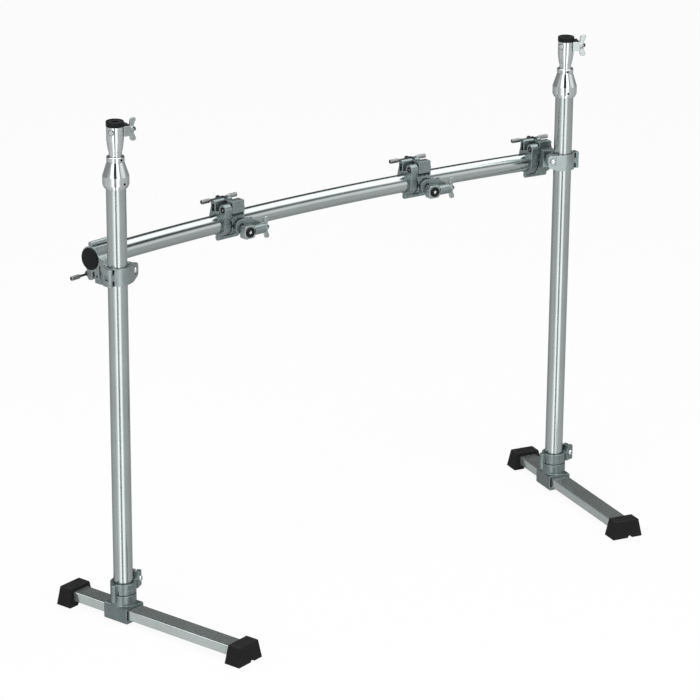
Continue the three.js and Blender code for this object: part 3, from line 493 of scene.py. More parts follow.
def rubber_block(reach, turn):
    """Block over a bar's end: drawn with its outer face at y 0, then set out and turned."""
    sole = [(-block_foot_half, 0)]
    for step in range(notch_steps + 1):
        angle = pi * (1 - step / notch_steps)
        sole.append((notch_middle + notch_radius * cos(angle), notch_radius * sin(angle)))
    sole += [(block_foot_half, 0), (block_top_half, block_height), (-block_top_half, block_height)]
    bm = slab(sole, "y", 0, block_length)
    for dot in bm.verts:
        if dot.co.z > block_height / 2:
            dot.co.y += block_lean if dot.co.y < block_length / 2 else -block_lean
    outer = [
        edge for edge in sharp_edges(bm, block_edge)
        if all(abs(dot.co.x - notch_middle) > notch_clear for dot in edge.verts)
    ]
    softened(bm, outer, block_rounding)
    rib_end = block_top_half - rib_inset
    ribs = [
        slab(rectangle(rib_half, rib_proud, (rib_first + rib_step * rib, block_height - rib_sunk)),
             "x", -rib_end, rib_end)
        for rib in range(rib_count)
    ]
    block = gathered(bm, *ribs)
    block.transform(about_z(turn) @ Matrix.Translation((0, -reach, 0)))
    return block


for name, stand in foot_places.items():
    for end, reach, turn in (("front", front_reach, 0), ("rear", rear_reach, pi)):
        piece(f"{name}_{end}_rubber_block", rubber_block(reach, turn), stand, rubber,
              f"{name}_foot", f"{name}_foot_{end}_rubber", 30, True)


# Foot castings: die-cast zinc with a satin grey finish. The flat bar runs through the sleeve,
# and the split collar above it is drawn round the leg by a bolt through its two ears.
sleeve_half_width = 25.2
sleeve_half_length = 29.5
sleeve_low = 2.3
sleeve_high = 35.3
sleeve_corner = 3
sleeve_wall = 2.2
channel_gap = 0.3
collar_radius = 25.65
leg_bore = 19.65
collar_floor = 31
collar_top = 80
slit_low = 56.4
slit_high = 58.8
slit_overlap = 0.2
slit_end = radians(28)
notch_top = 67
notch_overlap = 0.4
notch_start = radians(195)
notch_width = radians(6)
boss_radius = 6
boss_x = -28.15
boss_low = 44
ear_low = 61
ear_high = 93
ear_end = 34
ear_front = -25.65
ear_thickness = 9
ear_gap = 3
ear_roots = ((13, 21), (20.3, 25))
ear_turn = radians(21.6)
rim = 0.8
arc_step = 5
doubles = 0.0005
edge_round = 0.0011

# Cast skin: orange-peel grain, cloudy tone, and rounded edges painted lighter, partly as
# rubbed wear and partly as painted highlight
cast_skin, given, place = finish_group("cast skin", "Edge")
grain = noise(cast_skin, place, given["Scale"], 4)
clouds = noise(cast_skin, place, 45, 4)
rounded = add(cast_skin, "Bevel", {"Radius": edge_round}, samples=6).outputs["Normal"]
plain = add(cast_skin, "NewGeometry").outputs["Normal"]
agree = add(cast_skin, "VectorMath", {0: rounded, 1: plain}, operation="DOT_PRODUCT")
# Lighter rims: partly rubbed wear, partly painted highlight
edge_wear_and_highlight = spread(cast_skin, agree.outputs["Value"], 1, 0, 0.86, 0.995)
edge_wear_and_highlight = calculated(cast_skin, "MULTIPLY", edge_wear_and_highlight, spread(cast_skin, clouds, 0.4, 1.3))
fine = spread(cast_skin, grain, 0.94, 1.06)
tone = calculated(cast_skin, "MULTIPLY", spread(cast_skin, clouds, 0.9, 1.1), fine)
lighter = calculated(cast_skin, "MULTIPLY", edge_wear_and_highlight, given["Edge"])
tone = calculated(cast_skin, "ADD", tone, lighter)
end_group(cast_skin, given, tone, spread(cast_skin, clouds, -0.04, 0.05), grain, Normal=rounded)

foot_metal = finish("grey foot casting", cast_skin, 0.8, colour=(0.150, 0.184, 0.183, 1), edge=1,
                    scale=900, roughness=0.34, depth=0.25)


def turned(profile, axis="z", centre=(0, 0), steps=36):
    """Spin (radius, height) points round an axis. Points that start off it close to a ring."""
    bm = bmesh.new()
    if profile[0][0]:
        profile = (*profile, profile[0])
    dots = [bm.verts.new((radius, 0, along)) for radius, along in profile]
    edges = [bm.edges.new(pair) for pair in zip(dots, dots[1:])]
    bmesh.ops.spin(bm, geom=dots + edges, cent=(0, 0, 0), axis=(0, 0, 1), angle=2 * pi,
                   steps=steps, use_merge=True)
    bmesh.ops.remove_doubles(bm, verts=bm.verts, dist=doubles)
    return laid(bm, axis, centre)


def rod(radius, start, end, axis="z", centre=(0, 0), steps=24):
    return turned(((0, start), (radius, start), (radius, end), (0, end)), axis, centre, steps)


def hollow_slab(outer, inner, start, end, corners, inner_corners, rounding):
    """Push the frame between two outlines along Y."""
    bm = bmesh.new()
    for outline, corner in ((outer, corners), (inner, inner_corners)):
        dots = [bm.verts.new((u, v, 0)) for u, v in outline]
        bm.faces.new(dots)
        if corner:
            softened(bm, dots, corner, 4, "VERTICES")
    bmesh.ops.delete(bm, geom=bm.faces[:], context="FACES_ONLY")
    bmesh.ops.bridge_loops(bm, edges=bm.edges[:])
    pushed(bm, start, end)
    softened(bm, sharp_edges(bm), rounding, 2)
    return laid(bm, "y")


def collar_ring(low, high):
    """Closed ring round the leg with its rims just broken."""
    return turned((
        (leg_bore, low), (collar_radius - rim, low), (collar_radius, low + rim),
        (collar_radius, high - rim), (collar_radius - rim, high), (leg_bore + rim / 2, high),
        (leg_bore, high - rim / 2),
    ), steps=72)


def ring_part(low, high, start, sweep):
    """Part of the collar's ring, closed at both ends, from a bearing round the leg."""
    bm = bmesh.new()
    corners = ((leg_bore, low), (collar_radius, low), (collar_radius, high), (leg_bore, high))
    face = bm.faces.new([bm.verts.new((radius, 0, height)) for radius, height in corners])
    bmesh.ops.spin(bm, geom=face.edges[:], cent=(0, 0, 0), axis=(0, 0, 1), angle=sweep,
                   steps=max(4, round(degrees(sweep) / arc_step)))
    bmesh.ops.remove_doubles(bm, verts=bm.verts, dist=doubles)
    bmesh.ops.holes_fill(bm, edges=bm.edges, sides=0)
    return outwards(bm, about_z(start))


def foot_cast():
    sleeve = hollow_slab(
        rectangle(sleeve_half_width, (sleeve_high - sleeve_low) / 2,
                  (0, (sleeve_low + sleeve_high) / 2)),
        rectangle(sleeve_half_width - sleeve_wall, bar_height / 2 + channel_gap, (0, bar_middle)),
        -sleeve_half_length, sleeve_half_length, sleeve_corner, sleeve_corner, rim,
    )
    boss = turned((
        (0, boss_low), (boss_radius - rim, boss_low), (boss_radius, boss_low + rim),
        (boss_radius, collar_top - rim), (boss_radius - rim, collar_top), (0, collar_top),
    ), centre=(boss_x, 0), steps=32)
    ears = []
    for ear, (root, shoulder) in enumerate(ear_roots):
        front = ear_front + ear * (ear_thickness + ear_gap)
        outline = [(root, ear_low), (ear_end, ear_low), (ear_end, ear_high), (shoulder, ear_high),
                   (root, collar_top)]
        ears.append(slab(outline, "y", front, front + ear_thickness, 0, rim))
        ears[-1].transform(about_z(ear_turn))
    return gathered(
        sleeve,
        collar_ring(collar_floor, slit_low),
        ring_part(slit_low - slit_overlap, slit_high + slit_overlap, slit_end, pi - 2 * slit_end),
        ring_part(slit_high, notch_top, notch_start + notch_width, 2 * pi - notch_width),
        collar_ring(notch_top - notch_overlap, collar_top),
        boss,
        *ears,
    )


for name, stand in foot_places.items():
    piece(f"{name}_foot_cast", foot_cast(), stand, foot_metal, f"{name}_foot",
          f"{name}_foot_casting", 30, True)


# Collar bolts: chromed screws with a low dome and a hexagon socket, in the ears of the feet
# and of the straps that close round the legs. Their nuts sit in pockets behind.
dome_radius = 6
dome_height = 4
dome_shape = ((0.45, 1), (0.72, 0.86), (0.92, 0.55), (1, 0.2), (1, 0), (0, 0))
socket_half = 1.9
socket_depth = 1.8
bolt_shank = 3.2
nut_radius = 5.4
nut_face = -4.35
nut_height = 5
screw_gap = 0.3
collar_ear_along = 25
collar_screw_height = 78

# Polish: bright plating with faint smears
polish, given, place = finish_group("polish")
smears = noise(polish, place, given["Scale"], 5)
specks = noise(polish, place, 1500, 2)
end_group(polish, given, spread(polish, smears, 0.95, 1.05), spread(polish, smears, -0.03, 0.05),
          specks)

chrome = finish("chrome plate", polish, 1, colour=(0.46, 0.487, 0.492, 1), scale=50,
                roughness=0.13, depth=0.03)


def ear_screw(along, height, face):
    """Domed screw through a pair of ears, drawn with its face at y = face, and its nut."""
    top = face - dome_height
    socket = ((0, top + socket_depth), (socket_half, top + socket_depth), (socket_half, top))
    dome = [(dome_radius * out, face - dome_height * deep) for out, deep in dome_shape]
    centre = (along, height)
    nut_top = nut_face + nut_height
    return gathered(
        turned((*socket, *dome), "y", centre),
        rod(bolt_shank, face, nut_top, "y", centre),
        rod(nut_radius, nut_face, nut_top, "y", centre, 6),
    )


for name, stand in foot_places.items():
    screw = ear_screw(collar_ear_along, collar_screw_height, ear_front - screw_gap)
    piece(f"{name}_foot_collar_screw", screw, stand @ about_z(ear_turn), chrome,
          f"{name}_foot", f"{name}_foot_bolt")


# Legs: straight steel tubes brushed along their length. Each stands in its foot's collar,
# passes through the ring of a corner clamp, and ends inside the chromed cone.
tube_radius = 19.05
tube_wall = 1.6
tube_bore = tube_radius - tube_wall
tube_steps = 96
leg_low = 36.6
leg_top = 903
steel_colour = (0.335, 0.372, 0.366, 1)

leg_steel = finish("brushed leg steel", brushed, 1, colour=steel_colour, stretch=(1, 1, 0.02),
                   scale=750, roughness=0.19, depth=0.02)

for name, stand in leg_places.items():
    tube = turned(((tube_bore, leg_low), (tube_radius, leg_low), (tube_radius, leg_top),
                   (tube_bore, leg_top)), steps=tube_steps)
    piece(f"{name}_leg", tube, stand, leg_steel, f"{name}_leg", f"{name}_leg_tube")


# Cones: turned and chromed collars on top of the legs. A band grips the tube, the taper leads
# to a grooved lip, and black set screws hold the tube below and the socket's neck above.
cone_low = 880.5
band_low = 887
band_top = 904
lip_low = 931
cone_top = 941
cone_foot_radius = 22.6
cone_radius = 25.5
shoulder_radius = 16.6
lip_radius = 17.2
neck_bore = 12.8
chamfer = 0.7
band_break = chamfer * 0.4
lip_break = chamfer * 1.4
set_screw_radius = 2.5
set_screw_proud = 0.3
set_screw_rises = {"band": 4, "lip": 5}
set_screw_angles = {"left": radians(-84), "right": radians(-115)}

black_steel = finish("black oxide steel", moulded, 0.3, specular=0.15,
                     colour=(0.003, 0.0033, 0.0035, 1), dust=0.1, scale=1500, roughness=0.5,
                     depth=0.1)


def set_screw(radius, height):
    """Black set screw with its face just proud of a turned wall, drawn along +X."""
    return turned((
        (0, radius + set_screw_proud), (set_screw_radius - 0.3, radius + set_screw_proud),
        (set_screw_radius, radius + 0.1), (set_screw_radius, radius - 1), (0, radius - 1),
    ), "x", (0, height), 20)


for name, stand in leg_places.items():
    cone = turned((
        (leg_bore, cone_low), (cone_foot_radius - chamfer, cone_low),
        (cone_foot_radius, cone_low + band_break),
        (cone_radius - band_break, band_low - chamfer * 0.6), (cone_radius, band_low + band_break),
        (cone_radius, band_top - chamfer * 0.5),
        (cone_radius - band_break, band_top + chamfer * 0.5),
        (shoulder_radius + chamfer * 0.3, lip_low - chamfer * 0.6), (shoulder_radius, lip_low),
        (lip_radius - chamfer * 0.3, lip_low + chamfer), (lip_radius, lip_low + chamfer * 1.6),
        (lip_radius, cone_top - lip_break), (lip_radius - chamfer * 1.2, cone_top),
        (neck_bore, cone_top), (neck_bore, band_top), (leg_bore, band_top - chamfer),
    ), steps=tube_steps)
    piece(f"{name}_cone", cone, stand, chrome, f"{name}_leg", f"{name}_cone_collar", 6)
    screws = gathered(set_screw(lip_radius, lip_low + set_screw_rises["lip"]),
                      set_screw(cone_radius, band_low + set_screw_rises["band"]))
    piece(f"{name}_cone_set_screws", screws, stand @ about_z(set_screw_angles[name]),
          black_steel, f"{name}_leg")


# Sockets: chromed cups for a boom arm, turned with a narrow neck that drops into the cone. A
# square cast lug takes the clamping bolt, and a rivet on the front sits in a ring of painted shade.
neck_low = 882
neck_radius = 12.5
socket_low = 950
socket_waist = 957.3
waist_radius = 14.6
socket_radius = 16.5
socket_shoulder = 972
socket_top = 999
socket_bore = 10.6
socket_bore_low = 963
lug_root = socket_bore + 1
lug_end = 27
lug_front = -14
lug_back = 9
lug_low = 979.5
lug_corner = 2
lug_rounding = 0.8
rivet_radius = 5.2
rivet_root = socket_radius - 3
rivet_proud = 0.9
rivet_shade_ring = 0.9
rivet_angle = radians(218)
lug_bolt_y = -2.5
lug_bolt_z = 989.25

dark_steel = finish("blackened steel", moulded, 0.7, colour=(0.045, 0.05, 0.052, 1), dust=0.3,
                    scale=1500, roughness=0.36, depth=0.1)
bright_cast = finish("bright tumbled zinc", cast_skin, 0.9, colour=(0.30, 0.33, 0.328, 1),
                     edge=0.45, scale=1100, roughness=0.27, depth=0.2)

socket_turns = {"left": radians(-8), "right": radians(-29)}
socket_places = {
    name: leg_places[name] @ about_z(turn) for name, turn in socket_turns.items()
}
for name, stand in socket_places.items():
    cup = turned((
        (0, neck_low), (neck_radius - chamfer, neck_low), (neck_radius, neck_low + chamfer),
        (neck_radius, socket_low - 0.2), (neck_radius + 0.8, socket_low + 0.8),
        (waist_radius, socket_waist), (socket_radius, socket_shoulder),
        (socket_radius, socket_top - chamfer), (socket_radius - chamfer, socket_top),
        (socket_bore, socket_top), (socket_bore, socket_bore_low), (0, socket_bore_low),
    ), steps=tube_steps)
    outline = [(lug_root, lug_low), (lug_end, lug_low), (lug_end, socket_top),
               (lug_root, socket_top)]
    lug = slab(outline, "y", lug_front, lug_back, 0, lug_rounding)
    rivet = turned((
        (0, rivet_root), (rivet_radius, rivet_root),
        (rivet_radius, socket_radius + rivet_proud * 0.5),
        (rivet_radius * 0.85, socket_radius + rivet_proud), (0, socket_radius + rivet_proud),
    ), "x", (0, lug_bolt_z))
    # Dark ring round the rivet: painted shade where the rivet meets the cup
    shade_ring = turned((
        (rivet_radius, rivet_root), (rivet_radius + rivet_shade_ring, rivet_root),
        (rivet_radius + rivet_shade_ring, socket_radius + 0.1), (rivet_radius, socket_radius + 0.35),
    ), "x", (0, lug_bolt_z))
    for part in (rivet, shade_ring):
        part.transform(about_z(rivet_angle))
    piece(f"{name}_rivet_shade_ring", shade_ring, stand, dark_steel, f"{name}_socket")
    piece(f"{name}_socket_lug", lug, stand, bright_cast, f"{name}_socket", None, 28, True)
    piece(f"{name}_socket_cup", gathered(cup, rivet), stand, chrome, f"{name}_socket",
          f"{name}_socket", 6)


# Socket caps: moulded black inserts that line the sockets. A grooved collar stands above the
# rim, and a flat tongue covers the top of the lug.
cap_low = 987
cap_base = 999.3
cap_top = 1009.3
cap_radius = 17.2
cap_top_radius = 14.9
cap_bevel = 1.6
cap_bore = 6.5
cap_fit = 0.3
cap_lip = 2
cap_groove = 0.5
groove_low = cap_base + 2.6
groove_high = cap_base + 4.2
groove_slope = 0.4
tongue_rounding = 0.5

black_plastic = finish("black moulded plastic", moulded, 0, specular=0.14,
                       colour=(0.005, 0.006, 0.0065, 1), dust=0.5, scale=1400, roughness=0.46,
                       depth=0.12)

for name, stand in socket_places.items():
    collar = turned((
        (cap_bore, cap_low), (socket_bore - cap_fit, cap_low), (socket_bore - cap_fit, cap_base),
        (cap_radius - 0.3, cap_base), (cap_radius, cap_base + 0.4), (cap_radius, groove_low),
        (cap_radius - cap_groove, groove_low + groove_slope),
        (cap_radius - cap_groove, groove_high - groove_slope), (cap_radius, groove_high),
        (cap_radius, cap_top - cap_bevel), (cap_radius - 0.7, cap_top - 0.5),
        (cap_top_radius, cap_top), (cap_top_radius - 1.6, cap_top),
        (cap_top_radius - 2.2, cap_top - 1.4), (cap_bore + 1.2, cap_top - 1.4),
        (cap_bore, cap_top - 2.4),
    ), steps=tube_steps)
    tongue_end = lug_end - lug_corner
    tongue_front = lug_front + lug_corner
    tongue = slab([(socket_bore, tongue_front), (tongue_end, tongue_front), (tongue_end, lug_back),
                   (socket_bore, lug_back)], "z", cap_base, cap_base + cap_lip, 0, tongue_rounding)
    piece(f"{name}_cap", gathered(collar, tongue), stand, black_plastic, f"{name}_socket",
          f"{name}_socket_cap", 28)


# Socket bolts and wing nuts: a dark screw through the lug, and a die-cast zinc wing nut with
# two broad rounded wings, tumbled bright. The accessory clamps use the same wing nut.
bolt_radius = 4
thread_pitch = 1.25
thread_depth = 0.5
bolt_from = 12.6
bolt_to = 40.6
bolt_plain = 12
hub_radius = 7
hub_length = 10
hub_shape = ((0.5, 0), (0, 0.5), (0, 5), (0.6, 7.5), (1.6, 9.6), (2.2, hub_length))
thread_gap = 0.1
thread_mouth = 0.6
wing_span = 45.6
wing_thickness = 3.6
wing_flare = 5
wing_tip_half = 4.8
wing_corner = 2.2
wing_rounding = 1.3
nut_gap = 0.3


def threaded(start, end, axis, centre, plain=0):
    """Screw from start to end, plain for a length and then threaded."""
    root = bolt_radius - thread_depth
    points = [(0, start), (root, start)]
    if plain:
        points = [(0, start), (bolt_radius, start), (bolt_radius, start + plain)]
    along = start + plain + thread_pitch / 2
    while along + thread_pitch / 2 < end:
        points += [(bolt_radius, along), (root, along + thread_pitch / 2)]
        along += thread_pitch
    return turned(points + [(root, end), (0, end)], axis, centre, 24)


def wing_nut(face, centre):
    """Wing nut with its thread along +X from a face, its wings up and down."""
    y, z = centre
    top = face + hub_length
    bore = bolt_radius + thread_gap
    shell = [(hub_radius - inwards, face + along) for inwards, along in hub_shape]
    hub = turned(((bore, face), *shell, (bolt_radius + thread_mouth, top),
                  (bore, top - thread_mouth)), "x", centre)
    wings = []
    for side in (-1, 1):
        root = z + side * bolt_radius
        tip = z + side * wing_span / 2
        middle = z + side * (hub_radius + wing_flare)
        outline = [
            (face + 1, root), (top - 0.8, root), (top + 2, middle),
            (top + wing_flare, tip - side * wing_tip_half), (top + wing_flare * 0.6, tip),
            (face + hub_length * 0.4, tip - side * 0.6), (face + 1.8, tip - side * wing_tip_half),
            (face + 1.4, middle),
        ]
        wings.append(slab(outline, "y", y - wing_thickness / 2, y + wing_thickness / 2, wing_corner,
                          wing_rounding))
    return gathered(hub, *wings)


for name, stand in socket_places.items():
    centre = (lug_bolt_y, lug_bolt_z)
    screw = threaded(bolt_from, bolt_to, "x", centre, bolt_plain)
    piece(f"{name}_socket_screw", screw, stand, dark_steel, f"{name}_socket",
          f"{name}_socket_bolt")
    piece(f"{name}_socket_nut", wing_nut(lug_end + nut_gap, centre), stand, bright_cast,
          f"{name}_socket_nut", f"{name}_socket_wing_nut", 35, True)


# Rail: a round steel tube rolled to a gentle curve and brushed along its length. The corner
# clamps hold it near both ends, and the accessory clamps sit on it.
rail_radius = 3600
rail_turns = 120
corner_inset = 7
clamp_right = 22
rail_end_gap = 0.6

corner_angle = asin((leg_spacing / 2 - corner_inset) / rail_radius)
rail_end_angle = corner_angle + (clamp_right + rail_end_gap) / rail_radius
rail_joint = next(joint for joint in frame["joints"] if joint["name"] == "clamp_a_along_rail")
rail_centre = Vector(rail_joint["pos_m"])

rail_steel = finish("brushed rail steel", brushed, 1, colour=steel_colour, stretch=(0.02, 0.8, 1),
                    scale=750, roughness=0.17, depth=0.02)

bm = bmesh.new()
for radius in (tube_radius, tube_bore):
    bmesh.ops.create_circle(bm, segments=tube_steps, radius=radius)
bmesh.ops.bridge_loops(bm, edges=bm.edges[:])
upright = Matrix.Rotation(pi / 2, 4, "Y")
bm.transform(about_z(rail_end_angle) @ Matrix.Translation((0, rail_radius, 0)) @ upright)
bmesh.ops.spin(bm, geom=bm.faces[:], cent=(0, 0, 0), axis=(0, 0, -1), angle=2 * rail_end_angle,
               steps=rail_turns, use_merge=False)
piece("rail", outwards(bm), Matrix.Translation(rail_centre), rail_steel, "rail",
      "rail_tube")


# Rail caps: black moulded plugs with a shallow domed flange, pushed into both ends.
cap_flange_radius = 21.6
cap_flange = 3.2
cap_seat = 0.3
plug_radius = 16.2
plug_depth = 14


def on_rail(angle):
    """Place on the rail's axis: X along the rail, Y away from its centre, Z up."""
    turn = about_z(-angle)
    return Matrix.Translation(rail_centre) @ turn @ Matrix.Translation((0, rail_radius * mm, 0))


for name, side in sides.items():
    cap = turned((
        (0, -plug_depth), (plug_radius - 1, -plug_depth), (plug_radius, -plug_depth + 1),
        (plug_radius, cap_seat), (cap_flange_radius - 0.3, cap_seat), (cap_flange_radius, 0.6),
        (cap_flange_radius, cap_flange * 0.55), (cap_flange_radius - 0.5, cap_flange * 0.8),
        (cap_flange_radius - 1.6, cap_flange * 0.95), (cap_flange_radius - 3.5, cap_flange),
        (0, cap_flange),
    ), "x", (0, 0), tube_steps)
    stand = on_rail(side * rail_end_angle)
    if side < 0:
        stand = stand @ about_z(pi)
    piece(f"{name}_rail_end", cap, stand, black_plastic, "rail",
          f"rail_cap_{name}", 25)


# Corner castings and straps: die-cast zinc. Each casting grips the rail with one jaw and the
# leg with a ring. A strap closes the ring, hooked round a hinge at one end and drawn up by a
# domed screw at the other. Black rods at the hinge are painted shade for the gaps by its knuckles.
weld = 0.00001
flat_limit = radians(0.6)
strap_ear_turn = radians(20)
strap_ear_along = 26
strap_recess = 1.5
ring_rise = 15.6
ear_taper = 8
rail_height = 725
along_rail = {
    "left_corner": -corner_angle,
    "clamp_a": -227.7 / rail_radius,
    "clamp_b": 254.5 / rail_radius,
    "right_corner": corner_angle,
}
hinge_place = (-22.9, -12.2)
shade_rod_radius = 2.7
hinge_from = 7.5
hinge_to = 15.8

cast_metal = finish("grey cast metal", cast_skin, 0.8, colour=(0.190, 0.231, 0.230, 1), edge=1,
                    scale=900, roughness=0.34, depth=0.25)
# Lighter cast metal: used for the straps, and as painted light on the left corner's casting and
# rear jaw
strap_and_lit_cast_metal = finish("lighter cast metal", cast_skin, 0.8, colour=(0.250, 0.289, 0.288, 1),
                     edge=0.8, scale=900, roughness=0.36, depth=0.25)
clamp_places = {name: on_rail(angle) for name, angle in along_rail.items()}
clamp_places["left_corner"] = clamp_places["left_corner"] @ Matrix.Rotation(pi, 4, "Y")


def casting(name, node, material, body):
    """Welded copy of a CAD casting, smooth over its curves, that stands for the node."""
    bm = bmesh.new()
    bm.from_mesh(frame["nodes"][node].data)
    bmesh.ops.remove_doubles(bm, verts=bm.verts, dist=weld)
    bmesh.ops.dissolve_limit(bm, angle_limit=flat_limit, verts=bm.verts, edges=bm.edges)
    piece(name, bm, Matrix.Scale(1 / mm, 4), material, body, node, 48, True)


def mirrored(bm):
    """The other hand of a mesh, with its faces still outwards."""
    bm.transform(Matrix.Scale(-1, 4, (1, 0, 0)))
    bmesh.ops.reverse_faces(bm, faces=bm.faces)
    return bm


for name, side in sides.items():
    corner = f"{name}_corner"
    # The left casting is the same as the right one, painted lighter with the lighter cast metal as
    # painted light
    casting(f"{corner}_cast", f"{corner}_casting", strap_and_lit_cast_metal if side < 0 else cast_metal, corner)
    casting(f"{corner}_ring_strap", f"{corner}_strap", strap_and_lit_cast_metal, corner)
    screw = ear_screw(strap_ear_along, side * ring_rise + ear_taper / 2,
                      ear_front + strap_recess - screw_gap)
    screw.transform(about_z(strap_ear_turn))
    # Black rods at the hinge: painted shade for the gaps beside the knuckles
    shade_rods = gathered(
        rod(shade_rod_radius, hinge_from, hinge_to, centre=hinge_place, steps=20),
        rod(shade_rod_radius, -hinge_to, -hinge_from, centre=hinge_place, steps=20),
    )
    shade_rods.transform(Matrix.Translation((0, 0, side * ring_rise)))
    if side > 0:
        mirrored(screw)
        mirrored(shade_rods)
    ring = Matrix.Translation((0, 0, rail_height * mm)) @ about_z(-side * corner_angle)
    stand = leg_places[name] @ ring
    piece(f"{corner}_strap_screw", screw, stand, chrome, corner, f"{corner}_strap_bolt")
    piece(f"{corner}_hinge_shade_rods", shade_rods, stand, black_steel, corner)


# Gates and bolt blocks: the rear jaws, hinged below on a steel pin, and the blocks that the
# T-bolts screw into. A slotted screw ends each block's pin in its ear; a dark ring round it and
# a dark bar in its slot are painted shade. A seam in the shape of a V runs down each jaw's front.
bolt_z = 41
bolt_bore = 4.3
bore_steps = 24
block_left = -10.9
block_right = 19.3
block_low = 22
block_high = 47.5
block_front = -26.5
block_back = -9
block_wall = 4.5
block_corner = 2
block_soft = 0.7
block_overlap = 0.1
pin_centre = (-18, 32)
pin_face = -28.6
pin_foot = pin_face + 0.4
pin_head = 2.7
ring_outer = 6.3
ring_face = -30.4
slot_half = 0.5
slot_turn = 0.7
seam_middle = -12
seam_ends = -15.5
seam_half = 0.8
seam_radius = 25.85
seam_depth = 1.2
seam_sweep = radians(84)
seam_steps = 18


def bolt_block():
    """Rounded block with a blind bore for the T-bolt from behind."""
    outline = rectangle((block_right - block_left) / 2, (block_high - block_low) / 2,
                        ((block_right + block_left) / 2, (block_high + block_low) / 2))
    bore = []
    for step in range(bore_steps):
        angle = 2 * pi * step / bore_steps
        bore.append((bolt_bore * cos(angle), bolt_z + bolt_bore * sin(angle)))
    floor_of_bore = block_front + block_wall
    return gathered(
        hollow_slab(outline, bore, floor_of_bore, block_back, block_corner, 0, block_soft),
        slab(outline, "y", block_front, floor_of_bore + block_overlap, block_corner, block_soft),
    )


def jaw_seam():
    """Dark line down the round front of a jaw, furthest right at the middle."""
    halves = []
    for way in (-1, 1):
        bm = bmesh.new()
        face = bm.faces.new([
            bm.verts.new((seam_middle + across * seam_half, -seam_radius + deep * seam_depth, 0))
            for across, deep in ((-1, 0), (1, 0), (1, 1), (-1, 1))
        ])
        bmesh.ops.spin(bm, geom=[face], cent=(0, 0, 0), axis=(way, 0, 0), angle=seam_sweep,
                       dvec=((seam_ends - seam_middle) / seam_steps, 0, 0), steps=seam_steps)
        halves.append(outwards(bm))
    return gathered(*halves)


for name, stand in clamp_places.items():
    # The left corner's rear jaw gets the lighter cast metal as painted light
    jaw_metal = strap_and_lit_cast_metal if name == "left_corner" else cast_metal
    casting(f"{name}_rear_jaw", f"{name}_gate", jaw_metal, f"{name}_gate")
    piece(f"{name}_thread_block", bolt_block(), stand, cast_metal, name,
          f"{name}_bolt_block", 30, True)
    # Dark ring round the pin screw and dark bar in its slot: painted shade for the recess and the
    # slot
    ring = turned((
        (pin_head, pin_foot), (ring_outer, pin_foot), (ring_outer, ring_face + 0.4),
        (ring_outer - 0.5, ring_face), (pin_head + 0.3, ring_face), (pin_head, ring_face + 0.5),
    ), "x", pin_centre)
    slot_shade = slab(rectangle(slot_half, pin_head * 0.9), "x", ring_face - 0.05, pin_face)
    slot_shade.transform(Matrix.Translation((0, *pin_centre)) @ Matrix.Rotation(slot_turn, 4, "X"))
    piece(f"{name}_pin_shade_and_seam", gathered(ring, slot_shade, jaw_seam()), stand, black_steel, name)
    head = turned((
        (0, ring_face + 0.1), (pin_head - 0.7, ring_face + 0.1), (pin_head, ring_face + 0.6),
        (pin_head, pin_foot), (0, pin_foot),
    ), "x", pin_centre)
    piece(f"{name}_pin_screw", head, stand, bright_cast, name)


# T-bolts: dark screws with a cross bar pressed through the head. Two straight-knurled alloy
# grips are pushed on its ends, and a plain washer sits under the head.
bolt_front = -21.6
head_from = 20.8
head_end = 35
head_radius = 5.6
head_break = 0.4
head_dome = 1.2
washer_from = 18.3
washer_to = 20.5
washer_bore = bolt_radius + 0.4
washer_radius = 7.6
washer_break = 0.3
bar_y = 29.4
bar_radius = 2.4
grip_radius = 4.6
grip_from = 25
grip_to = 45
grip_neck = 4
grip_inner = grip_radius - 1
grip_rounding = 0.4
bar_head = 3.4
bar_end = grip_to + 0.4
knurls = 15
knurl_depth = 0.55


def fluted(radius, depth, count, start, end, axis, centre, rounding):
    """Bar with straight flutes along its axis and softened rims."""
    bm = bmesh.new()
    dots = bmesh.ops.create_circle(bm, segments=count * 2, radius=radius, cap_ends=True)["verts"]
    for dot in dots[::2]:
        dot.co *= 1 - depth / radius
    pushed(bm, start, end)
    rims = [edge for edge in bm.edges if abs(edge.verts[0].co.z - edge.verts[1].co.z) < 0.01]
    softened(bm, rims, rounding, 1)
    return laid(bm, axis, centre)


def knurled_grip():
    """Fluted barrel along X on a tapered neck."""
    centre = (bar_y, bolt_z)
    barrel = fluted(grip_radius, knurl_depth, knurls, grip_from, grip_to, "x", centre,
                    grip_rounding)
    neck = turned((
        (0, grip_from - grip_neck), (bar_radius + 0.4, grip_from - grip_neck),
        (grip_inner, grip_from), (grip_inner, grip_from + 1), (0, grip_from + 1),
    ), "x", centre, 30)
    return gathered(barrel, neck)


grip_alloy = finish("knurled alloy", cast_skin, 0.85, colour=(0.19, 0.195, 0.198, 1), edge=0.9,
                    scale=1100, roughness=0.36, depth=0.2)

